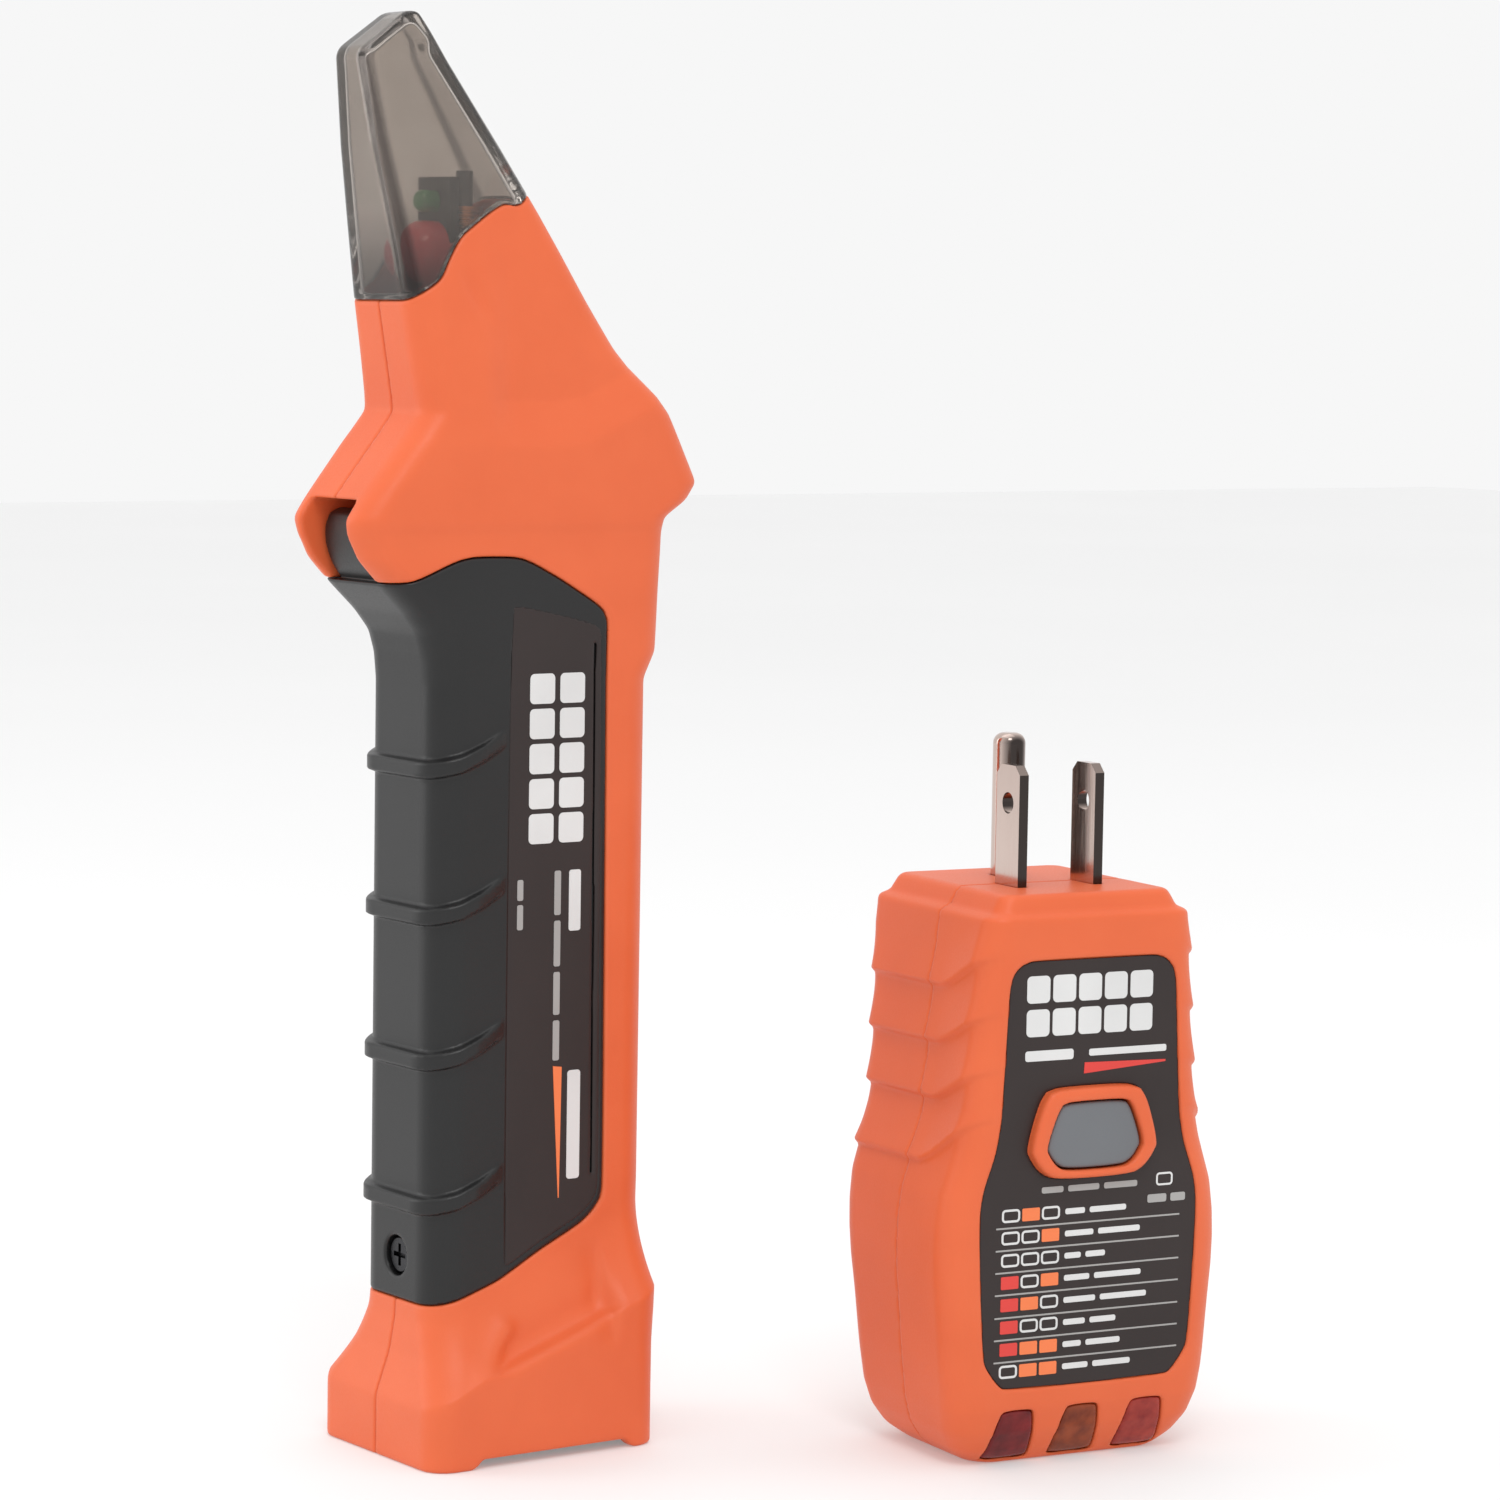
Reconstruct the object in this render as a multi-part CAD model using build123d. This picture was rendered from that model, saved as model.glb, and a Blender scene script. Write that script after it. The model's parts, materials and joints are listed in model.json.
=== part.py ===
from build123d import *
import os

# ------------------------------------------------------------------
# Circuit breaker finder: a hand-held receiver wand and its plug-in
# outlet transmitter, standing side by side.  Millimetres, +Z up.
# Row origin: centre of the pair's footprint, on the surface they stand on.
# The receiver is drawn about the centre of its own base.
# Receiver: +X = button side, -X = battery-cover side, wide faces +-Y.
# ------------------------------------------------------------------

ORIGIN_X, ORIGIN_Y = 31.09, -22.294   # centre of the pair's footprint, from the receiver's centre

# ---- receiver outer body: z, x_back, x_front, half thickness, corner radius
RX = [
    (0.0, -19.2, 19.4, 16.2, 4.0), (8.8, -19.2, 19.4, 16.2, 4.0),
    (11.9, -18.1, 19.6, 14.8, 4.4), (15.0, -17.0, 19.8, 13.2, 4.8),
    (20.0, -16.1, 20.3, 11.3, 5.4), (30.0, -16.0, 20.6, 10.6, 5.0),
    (38.0, -16.0, 20.8, 10.4, 5.0), (111.0, -16.0, 20.9, 10.4, 5.0),
    (114.8, -16.3, 22.7, 10.5, 5.0), (118.0, -17.2, 22.8, 10.6, 5.0),
    (121.0, -19.5, 22.8, 10.7, 4.9), (124.2, -22.8, 22.8, 10.9, 4.8),
    (128.7, -27.2, 22.9, 11.1, 4.6), (132.0, -28.9, 22.9, 11.2, 4.4),
    (134.2, -29.3, 23.1, 11.3, 4.2), (136.6, -27.6, 26.8, 11.3, 4.2),
    (139.2, -25.6, 28.6, 11.3, 4.2), (146.5, -19.8, 25.0, 11.2, 4.2),
    (149.2, -17.8, 23.6, 11.0, 4.2), (151.6, -18.1, 21.7, 10.7, 4.2),
    (158.2, -19.2, 15.5, 9.9, 4.0), (165.2, -20.4, 10.6, 9.3, 3.8),
    (172.2, -21.5, 6.1, 8.4, 3.4), (186.1, -24.0, -2.9, 6.3, 2.8),
    (198.3, -25.7, -11.1, 4.3, 2.0), (205.2, -26.5, -15.6, 3.7, 1.7),
]
HEIGHT_RX = 205.2
# inside of the head and of the clear nose
HEAD_IN = [
    (132.5, -14.5, 19.8, 8.6, 3.0), (139.0, -16.0, 23.5, 9.0, 3.0),
    (149.2, -15.4, 20.6, 8.8, 3.0), (158.2, -16.8, 12.6, 7.8, 2.6),
    (165.2, -18.2, 8.0, 7.2, 2.4), (172.2, -19.4, 3.8, 6.4, 2.0),
    (186.1, -22.0, -5.1, 4.5, 1.6), (199.0, -23.8, -13.8, 2.6, 1.0),
]
# border of the battery cover on the wide faces (x, z)
COVER_XZ = [(-34, 125.4), (-21.8, 125.4), (-19.4, 126.0), (-14.5, 128.0), (-12.0, 128.8),
            (-9.5, 129.0), (-3.7, 128.9), (-1.2, 128.2), (4.0, 125.6), (10.8, 121.7),
            (11.9, 120.4), (12.2, 118.9), (12.4, 79.3), (12.7, 37.0), (11.8, 34.9),
            (9.1, 32.6), (1.9, 29.3), (-4.9, 25.6), (-11.6, 23.4), (-14.9, 22.5), (-34, 21.4)]
# border of the clear nose on the wide faces (x, z)
NOSE_XZ = [(-40, 164.4), (-20.2, 164.4), (-18.9, 165.4), (-15.2, 167.6), (-13.6, 170.7),
           (-11.5, 173.8), (-5.9, 177.6), (-3.6, 178.7), (-1.8, 178.2), (0.0, 179.4), (30, 180.5),
           (30, 230), (-40, 230)]
GAP = 0.3              # gap round the removable cover
WALL_COVER = 1.3       # side wall of the battery cover
BATT = (26.0, 17.0, 48.5)   # 9 V block battery
BATT_X0, BATT_Z0 = -13.6, 50.0

# ---- docking recess in the receiver's foot
DOCK_X0, DOCK_X1, DOCK_Y, DOCK_Z = -16.8, 17.0, 13.7, 3.0
BLADE_W, BLADE_T, BLADE_PITCH = 6.35, 1.5, 12.7    # flat plug blades
GND_R, GND_OFFSET = 2.38, 11.86                    # round earth pin
GND_SHANK_R = 2.0                                  # its shank inside the case
DOCK_BLADE_X = 5.2
SLOT_T, SLOT_W, DOCK_GND_R = 2.1, 7.2, 2.6

# ---- transmitter, in its own axes: label faces -y, prongs up
TX_POS, TX_ANGLE = (66.55, -44.68, 0.0), -7.94
TX = [  # z, half width, front, back, corner radius
    (0.0, 15.5, 8.6, 12.5, 4.0), (2.2, 18.9, 10.2, 15.6, 4.4), (5.0, 20.4, 11.8, 17.0, 4.8),
    (8.5, 21.3, 13.0, 17.9, 5.0), (12.0, 21.7, 13.4, 18.2, 5.0), (21.7, 22.5, 13.4, 18.8, 5.0),
    (30.5, 23.1, 13.4, 19.5, 5.0), (38.0, 22.8, 13.4, 20.2, 5.0), (46.0, 20.4, 13.4, 20.6, 4.8),
    (51.4, 19.2, 13.4, 20.9, 4.6), (66.0, 18.1, 13.4, 21.9, 4.4), (75.0, 17.5, 13.4, 22.8, 4.0),
    (78.4, 17.1, 13.3, 22.6, 3.6), (79.3, 16.5, 12.9, 22.2, 3.2), (79.9, 15.2, 12.4, 21.6, 2.6),
    (82.3, 13.8, 11.4, 20.5, 2.0)]
TX_TOP = 82.3
TX_SPLIT_Y = 2.0
TX_WALL = 2.2
BLADE_LEN, GND_LEN = 17.4, 20.9
LABEL_XZ = [(-10.4, 73.1), (10.6, 73.1), (13.0, 72.0), (13.9, 69.6), (14.4, 58.9), (14.9, 50.1),
            (15.7, 45.7), (17.6, 40.6), (18.1, 37.6), (18.1, 34.0), (17.8, 26.5), (17.1, 15.6),
            (14.0, 11.6), (-14.0, 11.6), (-17.1, 15.6), (-17.8, 26.5), (-18.1, 34.0), (-18.1, 37.6),
            (-17.6, 40.6), (-15.7, 45.7), (-14.9, 50.1), (-14.4, 58.9), (-13.9, 69.6), (-13.0, 72.0)]
BEZEL_XZ = [(-6.6, 54.7), (6.6, 54.7), (8.4, 53.4), (10.5, 46.6), (10.3, 44.8), (7.2, 41.6),
            (-7.2, 41.6), (-10.3, 44.8), (-10.5, 46.6), (-8.4, 53.4)]
BUTTON_XZ = [(-4.9, 52.5), (4.9, 52.5), (5.9, 51.7), (7.8, 46.6), (7.6, 45.4), (5.5, 43.1),
             (-5.5, 43.1), (-7.6, 45.4), (-7.8, 46.6), (-5.9, 51.7)]
LENS_X = (-11.0, -0.2, 10.6)


def station(z, x0, x1, y0, y1, r):
    return Plane(((x0 + x1) / 2, (y0 + y1) / 2, z)) * RectangleRounded(x1 - x0, y1 - y0, r)


def wand(rows, grow=0.0):
    return loft([station(z, a - grow, b + grow, -h - grow, h + grow, max(r + grow, 0.5))
                 for z, a, b, h, r in rows], ruled=True)


def outline(points):
    """Closed polygon, always counter-clockwise."""
    n = len(points)
    area = sum(points[i][0] * points[(i + 1) % n][1] - points[(i + 1) % n][0] * points[i][1] for i in range(n))
    return Polygon(*(points if area > 0 else points[::-1]), align=None)


def slab(points, y0, y1):
    """Closed outline in X-Z, from y0 to y1."""
    return extrude(Plane.XZ.offset(-y1) * outline(points), amount=y1 - y0)


def box(x0, x1, y0, y1, z0, z1):
    return Pos((x0 + x1) / 2, (y0 + y1) / 2, (z0 + z1) / 2) * Box(x1 - x0, y1 - y0, z1 - z0)


def rod_x(x0, x1, y, z, r):
    return Pos((x0 + x1) / 2, y, z) * Rot(0, 90, 0) * Cylinder(r, x1 - x0)


def rod_y(y0, y1, x, z, r):
    return Pos(x, (y0 + y1) / 2, z) * Rot(90, 0, 0) * Cylinder(r, y1 - y0)


def rod_z(z0, z1, x, y, r):
    return Pos(x, y, (z0 + z1) / 2) * Cylinder(r, z1 - z0)


def grow_xz(points, d):
    """The outline, offset outwards by d."""
    return offset(outline(points), amount=d, kind=Kind.INTERSECTION)


def slab_off(points, d, y0, y1):
    return extrude(Plane.XZ.offset(-y1) * grow_xz(points, d), amount=y1 - y0)


nodes = {}

# ================================================================ receiver
outer = wand(RX)
# the nose ends in a face that slopes down towards the back
outer -= slab([(-32, 196.0), (-25.6, 198.6), (-24.4, 199.9), (-17.6, 204.5), (-16.2, 204.6), (-8, 196.5),
               (-8, 215), (-32, 215)], -10, 10) & slab([(-32, 196), (-11.2, 199), (-8, 199), (-8, 215), (-32, 215)], -10, 10)
inner = wand(HEAD_IN)
cover_zone = slab(COVER_XZ, -20, 20)
cover_zone_big = slab_off(COVER_XZ, GAP, -20, 20)
nose_zone = slab(NOSE_XZ, -20, 20)

# -- clear nose
nodes["nose_lens"] = (outer & nose_zone) - inner

# -- two orange half shells
shell = (outer - nose_zone) - inner
shell -= cover_zone_big & box(-40, 12.4 + 2, -20, 20, 0, 140)
# hook recess for the cover's tongue
shell -= box(-34, -19.0, -6.2, 6.2, 124.0, 137.0)
# electronics space behind the front strip
shell -= box(14.4, 19.2, -7.4, 7.4, 40.0, 134.0)
# battery cradle: shelves that reach back from the front strip
shell += box(-11.6, 13.6, -8.7, 8.7, 43.6, 45.4) + box(-11.0, 13.6, -8.7, 8.7, 103.2, 104.8)
# boss for the cover screw
shell += box(-8.5, -2.0, -4.0, 4.0, 22.0, 33.0)
# battery leads' way into the head
for s in (-1, 1):
    shell -= rod_z(102.0, 134.0, 6.0, s * 2.4, 1.1)
# foot: docking recess, then the socket block's room
shell -= box(DOCK_X0, DOCK_X1, -DOCK_Y, DOCK_Y, -1, DOCK_Z + 3.0)
shell -= box(-10.7, 12.2, -8.9, 8.9, 5.0, 22.6)
# rim cut up between the corner lips
for s in (-1, 1):
    shell -= box(-11.0, 13.4, min(s * 12, s * 20), max(s * 12, s * 20), -1, 1.3)
# power button window, screw boss hole
BTN_Z, BTN_H, BTN_W = 124.0, 12.0, 9.0
shell -= Pos(20.0, 0, BTN_Z) * Rot(0, 90, 0) * extrude(RectangleRounded(BTN_H + 0.6, BTN_W + 0.6, 2.8), amount=5)
shell -= Pos(19.0, 0, BTN_Z) * Rot(0, 90, 0) * extrude(RectangleRounded(BTN_H + 2.6, BTN_W + 2.6, 3.2), amount=1.8)
shell -= rod_x(-9.0, -4.0, 0, 28.6, 1.9)
# sounder vents in the +Y head side
for k in range(3):
    shell -= rod_y(5, 14, 8.0, 140.0 + 3.2 * (k - 1), 0.8)
# case screw holes from the +Y side
SCREWS_RX = [(15.0, 28.0), (17.0, 129.6), (-19.6, 140.4)]
for x, z in SCREWS_RX[:1] + SCREWS_RX[2:]:
    shell -= rod_y(2.0, 20, x, z, 1.6)
    shell -= rod_y(-5.0, 2.5, x, z, 1.25)
    shell -= rod_y(7.0, 20, x, z, 2.9)
right = shell & box(-60, 60, -40, 0, -5, 240)
left = shell & box(-60, 60, 0, 40, -5, 240)
nodes["receiver_shell_right"] = right
nodes["receiver_shell_left"] = left
nodes["receiver_case_screws"] = Compound(children=[
    (rod_y(2.4, 6.6, x, z, 1.2) + rod_y(-4.6, 2.4, x, z, 1.2) + rod_y(6.6 + 0.4, 8.6, x, z, 2.5)
     + rod_y(6.6, 7.0, x, z, 1.2) - (Pos(x, 8.4, z) * Box(3.0, 1.6, 0.6)) - (Pos(x, 8.4, z) * Box(0.6, 1.6, 3.0))).solid()
    for x, z in SCREWS_RX[:1] + SCREWS_RX[2:]])

# -- battery cover: channel-shaped grip with four ribs, tongue at the top
cover = outer & cover_zone
ribs = None
for z0 in (99.0, 78.2, 57.5, 36.8):
    band = [(-26, z0 - 1.1), (-16, z0 - 1.1), (-12.5, z0 - 0.2), (-8.5, z0 + 1.2), (-4.8, z0 + 3.0),
            (-4.8, z0 + 5.2), (-8.5, z0 + 3.4), (-12.5, z0 + 2.0), (-16, z0 + 1.3), (-26, z0 + 1.3)]
    cover += wand([r for r in RX if 30 <= r[0] <= 111], 1.2) & slab(band, -20, 20)
tongue = slab([(-17.0, 122.0), (-21.0, 123.4), (-24.4, 127.6), (-25.6, 131.0), (-25.4, 134.0), (-24.0, 135.6),
               (-22.0, 135.6), (-20.9, 133.5), (-20.6, 130.0), (-19.4, 125.0)], -5.7, 5.7)
cover += tongue
cover -= (Pos(2.8, 0, 86.5) * extrude(RectangleRounded(34.4, 2 * (10.4 - WALL_COVER), 3.7), amount=53.5, both=True)) & slab(
    [(-14.4, 30.0), (15, 30.0), (15, 140), (-10, 140), (-14.4, 119.0)], -20, 20)
cover -= box(5.0, 20, -10.4 + WALL_COVER, 10.4 - WALL_COVER, 33.0, 140.0)
cover -= slab([(-14.4, 119.0), (-18.6, 124.6), (-19.4, 125.1), (-19.4, 130), (20, 130), (20, 119)], -7.5, 7.5)
cover -= box(-9.0, 20, -10.4 + WALL_COVER, 10.4 - WALL_COVER, 20.0, 34.0)
# recess and hole for its screw
cover -= rod_x(-20, -13.6, 0, 28.6, 2.9)
cover -= rod_x(-15, -6.0, 0, 28.6, 1.6)
nodes["battery_cover"] = cover
scr = rod_x(-15.3, -13.9, 0, 28.6, 2.4) + rod_x(-13.9, -6.5, 0, 28.6, 1.25)
scr -= Pos(-15.2, 0, 28.6) * Box(1.2, 3.2, 0.7)
scr -= Pos(-15.2, 0, 28.6) * Box(1.2, 0.7, 3.2)
nodes["battery_cover_screw"] = scr
# moulded label panels let into the cover's wide faces
PANEL = [(-4.3, 122.4), (10.2, 119.2), (11.3, 117.8), (11.6, 79.3), (11.9, 37.6), (11.2, 35.7), (8.8, 33.6), (1.5, 30.2),
         (-4.3, 27.0)]
pan = {}
for s, nm in ((-1, "right"), (1, "left")):
    y0, y1 = (-10.6, -10.05) if s < 0 else (10.05, 10.6)
    pan[nm] = slab(PANEL, y0, y1)
    nodes["battery_cover"] = nodes["battery_cover"] - slab(PANEL, min(y0, y1) - (1 if s < 0 else 0), max(y0, y1) + (1 if s > 0 else 0))
    nodes["grip_panel_" + nm] = pan[nm]

# -- battery and its snap connector
bx0, bz0 = BATT_X0, BATT_Z0
batt = box(bx0, bx0 + BATT[0], -BATT[1] / 2, BATT[1] / 2, bz0, bz0 + 46.0)
batt = fillet(batt.edges().filter_by(Axis.Z), 2.2)
nodes["battery_9v"] = batt
tcx = bx0 + BATT[0] / 2
nodes["battery_terminals"] = Compound(children=[
    rod_z(bz0 + 46.0, bz0 + 48.5, tcx - 6.35, 0, 2.8).solid(), rod_z(bz0 + 46.0, bz0 + 48.5, tcx + 6.35, 0, 3.9).solid()])
snap = box(tcx - 12.0, tcx + 12.0, -6.0, 6.0, bz0 + 46.2, bz0 + 51.6)
snap -= rod_z(bz0 + 46, bz0 + 48.9, tcx - 6.35, 0, 3.2) + rod_z(bz0 + 46, bz0 + 48.9, tcx + 6.35, 0, 4.3)
nodes["battery_snap"] = fillet(snap.edges().filter_by(Axis.Z), 3.0)
nodes["battery_foam_pad"] = box(-12.6, 11.0, -7.5, 7.5, bz0 - 4.6, bz0)
# battery leads: two wires from the snap connector up into the head
lead = []
for y in (-2.4, 2.4):
    lead.append((rod_z(bz0 + 51.6, 131.0, 6.0, y, 0.7)).solid())
nodes["battery_leads"] = Compound(children=lead)

# -- electronics of the receiver
pcb = box(15.4, 16.8, -7.4, 7.4, 62.0, 133.6)
nodes["receiver_board"] = pcb
nodes["receiver_chips"] = Compound(children=[
    box(16.8, 18.2, -5.0, 5.0, 84.0, 94.0).solid(), box(16.8, 18.0, -3.0, 3.0, 70.0, 76.0).solid(),
    box(16.8, 18.4, 2.0, 6.0, 102.0, 107.0).solid()])
nodes["power_switch"] = box(16.8, 18.9, -3.1, 3.1, BTN_Z - 3.1, BTN_Z + 3.1) + rod_x(18.9, 19.4, 0, BTN_Z, 1.6)
pb = Pos(20.4, 0, BTN_Z) * Rot(0, 90, 0) * extrude(RectangleRounded(BTN_H, BTN_W, 2.5), amount=2.3)
pb += Pos(19.8, 0, BTN_Z) * Rot(0, 90, 0) * extrude(RectangleRounded(BTN_H + 1.8, BTN_W + 1.8, 2.9), amount=0.6)
nodes["power_button"] = pb
nodes["receiver_sounder"] = rod_y(3.0, 7.8, 8.0, 140.0, 6.0)
nodes["nose_board"] = box(-11.6, -10.2, -4.3, 4.3, 150.0, 182.0)
for nm, z, r, x0 in (("nose_led_red", 171.5, 4.4, -17.4), ("nose_led_green", 178.6, 1.6, -14.7)):
    led = rod_x(x0, -11.6, 0, z, r)
    nodes[nm] = fillet([e for e in led.edges() if e.center().X < x0 + 0.1], r - 0.35)
nodes["pickup_coil"] = rod_z(160.0, 178.0, -6.6, 0, 2.6) - rod_z(150, 190, -6.6, 0, 1.3)
nodes["pickup_core"] = rod_z(154.0, 183.0, -6.6, 0, 1.2)
nodes["nose_diffuser"] = box(-2.4, -0.9, -4.6, 4.6, 152.0, 170.0)

# -- socket block in the foot that takes the transmitter's prongs
plate = box(DOCK_X0 + 0.0, DOCK_X1 - 0.0, -DOCK_Y + 0.0, DOCK_Y - 0.0, DOCK_Z, DOCK_Z + 3.0)
block = plate + box(-10.5, 12.0, -8.7, 8.7, DOCK_Z + 3.0, 22.4)
for s in (-1, 1):
    block -= box(DOCK_BLADE_X - SLOT_W / 2, DOCK_BLADE_X + SLOT_W / 2, s * BLADE_PITCH / 2 - SLOT_T / 2,
                 s * BLADE_PITCH / 2 + SLOT_T / 2, 0, 20.9)
gx = DOCK_BLADE_X - GND_OFFSET
block -= rod_z(0, 21.4, gx, 0, DOCK_GND_R)
nodes["dock_socket"] = block

# ============================================================= transmitter
body = loft([station(z, -w, w, -f, b, r) for z, w, f, b, r in TX], ruled=True)
body_grip = loft([station(z, -w - 0.8, w + 0.8, -f, b + 0.3, r) for z, w, f, b, r in TX[6:12]], ruled=True)
hollow = loft([station(z, -w + TX_WALL, w - TX_WALL, -f + TX_WALL, b - TX_WALL, max(r - TX_WALL, 0.8))
               for z, w, f, b, r in ((2.6, 18.9, 10.4, 15.6, 4.4), (5.0, 20.4, 11.8, 17.0, 4.8), (8.5, 21.3, 12.6, 17.9, 5.0),
                                     (21.7, 22.5, 12.6, 18.8, 5.0), (30.5, 23.1, 12.6, 19.5, 5.0), (38.0, 22.8, 12.6, 20.2, 5.0),
                                     (46.0, 20.4, 12.6, 20.6, 4.8), (66.0, 18.1, 12.6, 21.9, 4.4), (77.6, 17.2, 12.6, 22.6, 3.9),
                                     (78.8, 16.4, 12.4, 22.2, 3.4))], ruled=True)
# wavy side grips: four stepped ridges each side, highest at the front edge
for k, (zr, w) in enumerate(((69.0, 18.9), (60.9, 19.5), (52.9, 20.1), (44.6, 22.0))):
    for s in (-1, 1):
        x0, x1 = sorted((s * 12.0, s * (w + 3)))
        path = [(-12.0, zr + 4.4), (-9.0, zr + 3.6), (-5.5, zr + 1.2), (-3.0, zr), (17.5, zr - 0.4),
                (17.5, zr + 2.6), (-3.0, zr + 3.0), (-5.5, zr + 4.2), (-9.0, zr + 6.4), (-12.0, zr + 7.0)]
        body += extrude(Plane.YZ.offset(x0) * outline(path), amount=x1 - x0) & body_grip
body -= hollow
# front recess for the label, raised surround of the button, button window
body -= slab(LABEL_XZ, -20, -12.7)
body += slab(BEZEL_XZ, -14.8, -10.4)
body -= slab_off(BUTTON_XZ, 0.35, -20, -9.0)
# prong openings in the top
for s in (-1, 1):
    body -= box(s * 6.35 - 0.75, s * 6.35 + 0.75, -3.175, 3.175, 76, 90)
body -= rod_z(76, 90, 0, GND_OFFSET, GND_SHANK_R)
# indicator windows round the lower front edge
lens_cut = []
for x in LENS_X:
    lens_cut.append(slab([(x - 2.7, 8.6), (x + 2.7, 8.6), (x + 3.9, 0.9), (x - 3.9, 0.9)], -20, -5.4))
lens_slab = [p for p in lens_cut]
lens_solid = []
for p in lens_slab:
    lens_solid.append((body & p))
for p in lens_slab:
    body -= p
# case screws from the back
SCREWS_TX = [(-13.0, 12.0), (13.0, 12.0), (-11.5, 63.6), (11.5, 63.6)]
boss = None
for x, z in SCREWS_TX:
    body += rod_y(-11.0, 24.0, x, z, 3.4) & loft([station(zz, -w + .6, w - .6, -f + .9, b - .6, max(r - .6, .8)) for zz, w, f, b, r in TX], ruled=True)
    body -= rod_y(-6.0, 6.0, x, z, 1.25)
    body -= rod_y(5.0, 14.0, x, z, 1.6)
    body -= rod_y(14.0, 30.0, x, z, 2.9)
front = body & box(-60, 60, -60, TX_SPLIT_Y, -5, 120)
back = body & box(-60, 60, TX_SPLIT_Y, 60, -5, 120)
tx = {}
tx["transmitter_front_shell"] = front
tx["transmitter_back_shell"] = back
label = slab(LABEL_XZ, -13.25, -12.7) - slab(BEZEL_XZ, -20, -5)
tx["transmitter_label"] = label
for nm, sld in zip(("indicator_lens_left", "indicator_lens_middle", "indicator_lens_right"), lens_solid):
    tx[nm] = sld
btn = slab(BUTTON_XZ, -14.5, -11.0)
btn += slab_off(BUTTON_XZ, 0.9, -10.0, -9.2) + slab(BUTTON_XZ, -11.0, -10.0)
tx["test_button"] = btn
tx["test_button_switch"] = box(-3.1, 3.1, -7.4, -5.0, 44.7, 50.9) + rod_y(-8.0, -7.4, 0, 47.8, 1.7)
tboard = box(-14.0, 14.0, -5.0, -3.4, 15.4, 60.2)
tx["transmitter_board"] = tboard
tx["transmitter_led_board"] = box(-14.0, 14.0, -3.2, -1.8, 3.4, 7.8)
tx["transmitter_leds"] = Compound(children=[(rod_y(-6.4, -3.2, x, 5.6, 1.5)).solid() for x in LENS_X])
tx["transmitter_capacitor"] = box(-8.0, 8.0, -2.8, 4.4, 22.0, 34.0)
tx["transmitter_resistor"] = rod_x(-7.0, 7.0, -0.6, 40.5, 2.2)
tx["transmitter_coil"] = rod_z(46.0, 57.0, 0.0, 2.6, 5.2) - rod_z(40, 60, 0.0, 2.6, 2.0)
carrier = box(-10.5, 10.5, -5.5, 15.8, 68.0, 78.6)
for s in (-1, 1):
    blade = box(s * 6.35 - 0.75, s * 6.35 + 0.75, -3.175, 3.175, 66.0, TX_TOP + BLADE_LEN)
    e = [ed for ed in blade.edges().filter_by(Axis.X) if ed.center().Z > 95]
    blade = chamfer(e, 1.3)
    blade -= rod_x(s * 6.35 - 2, s * 6.35 + 2, 0, TX_TOP + 11.9, 1.55)
    tx["blade_left" if s < 0 else "blade_right"] = blade
    carrier -= box(s * 6.35 - 0.75, s * 6.35 + 0.75, -3.175, 3.175, 60, 90)
pin = rod_z(TX_TOP, TX_TOP + GND_LEN, 0, GND_OFFSET, GND_R)
pin = fillet([ed for ed in pin.edges() if ed.center().Z > TX_TOP + GND_LEN - 0.1], 1.55)
pin += rod_z(66.0, TX_TOP, 0, GND_OFFSET, GND_SHANK_R)
tx["ground_pin"] = pin
carrier -= rod_z(60, 90, 0, GND_OFFSET, GND_SHANK_R)
tx["prong_carrier"] = carrier
tx["transmitter_case_screws"] = Compound(children=[
    ((rod_y(-5.6, 14.0, x, z, 1.2) + rod_y(14.0, 15.9, x, z, 2.5)) - (Pos(x, 15.6, z) * Box(3.2, 1.4, 0.6))
     - (Pos(x, 15.6, z) * Box(0.6, 1.4, 3.2))).solid() for x, z in SCREWS_TX])
place = Pos(*TX_POS) * Rot(0, 0, TX_ANGLE)
for nm, sld in tx.items():
    nodes[nm] = place * sld

# the row's origin: middle of the pair's footprint, on the floor
for nm in nodes:
    nodes[nm] = Pos(-ORIGIN_X, -ORIGIN_Y, 0) * nodes[nm]

os.makedirs("parts", exist_ok=True)
for nm, sld in nodes.items():
    export_step(sld, "parts/" + nm + ".step")
    print(nm, round(sld.volume, 1))
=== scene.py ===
import json
import math

import bpy
import numpy as np
from mathutils import Matrix

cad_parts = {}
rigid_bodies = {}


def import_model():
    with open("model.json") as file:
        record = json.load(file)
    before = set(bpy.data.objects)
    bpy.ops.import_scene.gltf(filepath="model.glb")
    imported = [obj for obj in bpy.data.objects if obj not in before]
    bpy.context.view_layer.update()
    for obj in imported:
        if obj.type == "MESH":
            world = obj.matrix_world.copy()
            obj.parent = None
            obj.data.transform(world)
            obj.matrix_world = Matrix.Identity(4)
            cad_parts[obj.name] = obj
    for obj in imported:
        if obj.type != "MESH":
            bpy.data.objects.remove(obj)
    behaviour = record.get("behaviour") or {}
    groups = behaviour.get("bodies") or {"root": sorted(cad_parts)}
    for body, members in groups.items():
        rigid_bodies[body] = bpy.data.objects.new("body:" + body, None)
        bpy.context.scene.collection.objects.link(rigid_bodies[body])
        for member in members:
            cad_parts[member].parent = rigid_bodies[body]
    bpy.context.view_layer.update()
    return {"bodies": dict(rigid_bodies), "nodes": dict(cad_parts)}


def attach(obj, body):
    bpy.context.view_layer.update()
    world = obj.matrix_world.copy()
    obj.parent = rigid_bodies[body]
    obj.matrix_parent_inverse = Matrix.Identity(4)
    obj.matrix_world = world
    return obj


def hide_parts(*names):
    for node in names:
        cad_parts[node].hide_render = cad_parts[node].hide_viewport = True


# Circuit breaker finder: receiver wand and plug-in outlet transmitter.
# Shapes are written as distance fields in millimetres, in the receiver's own
# axes (the transmitter in its own), meshed, and put in the row frame.
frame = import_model()
bodies = frame["bodies"]
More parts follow.
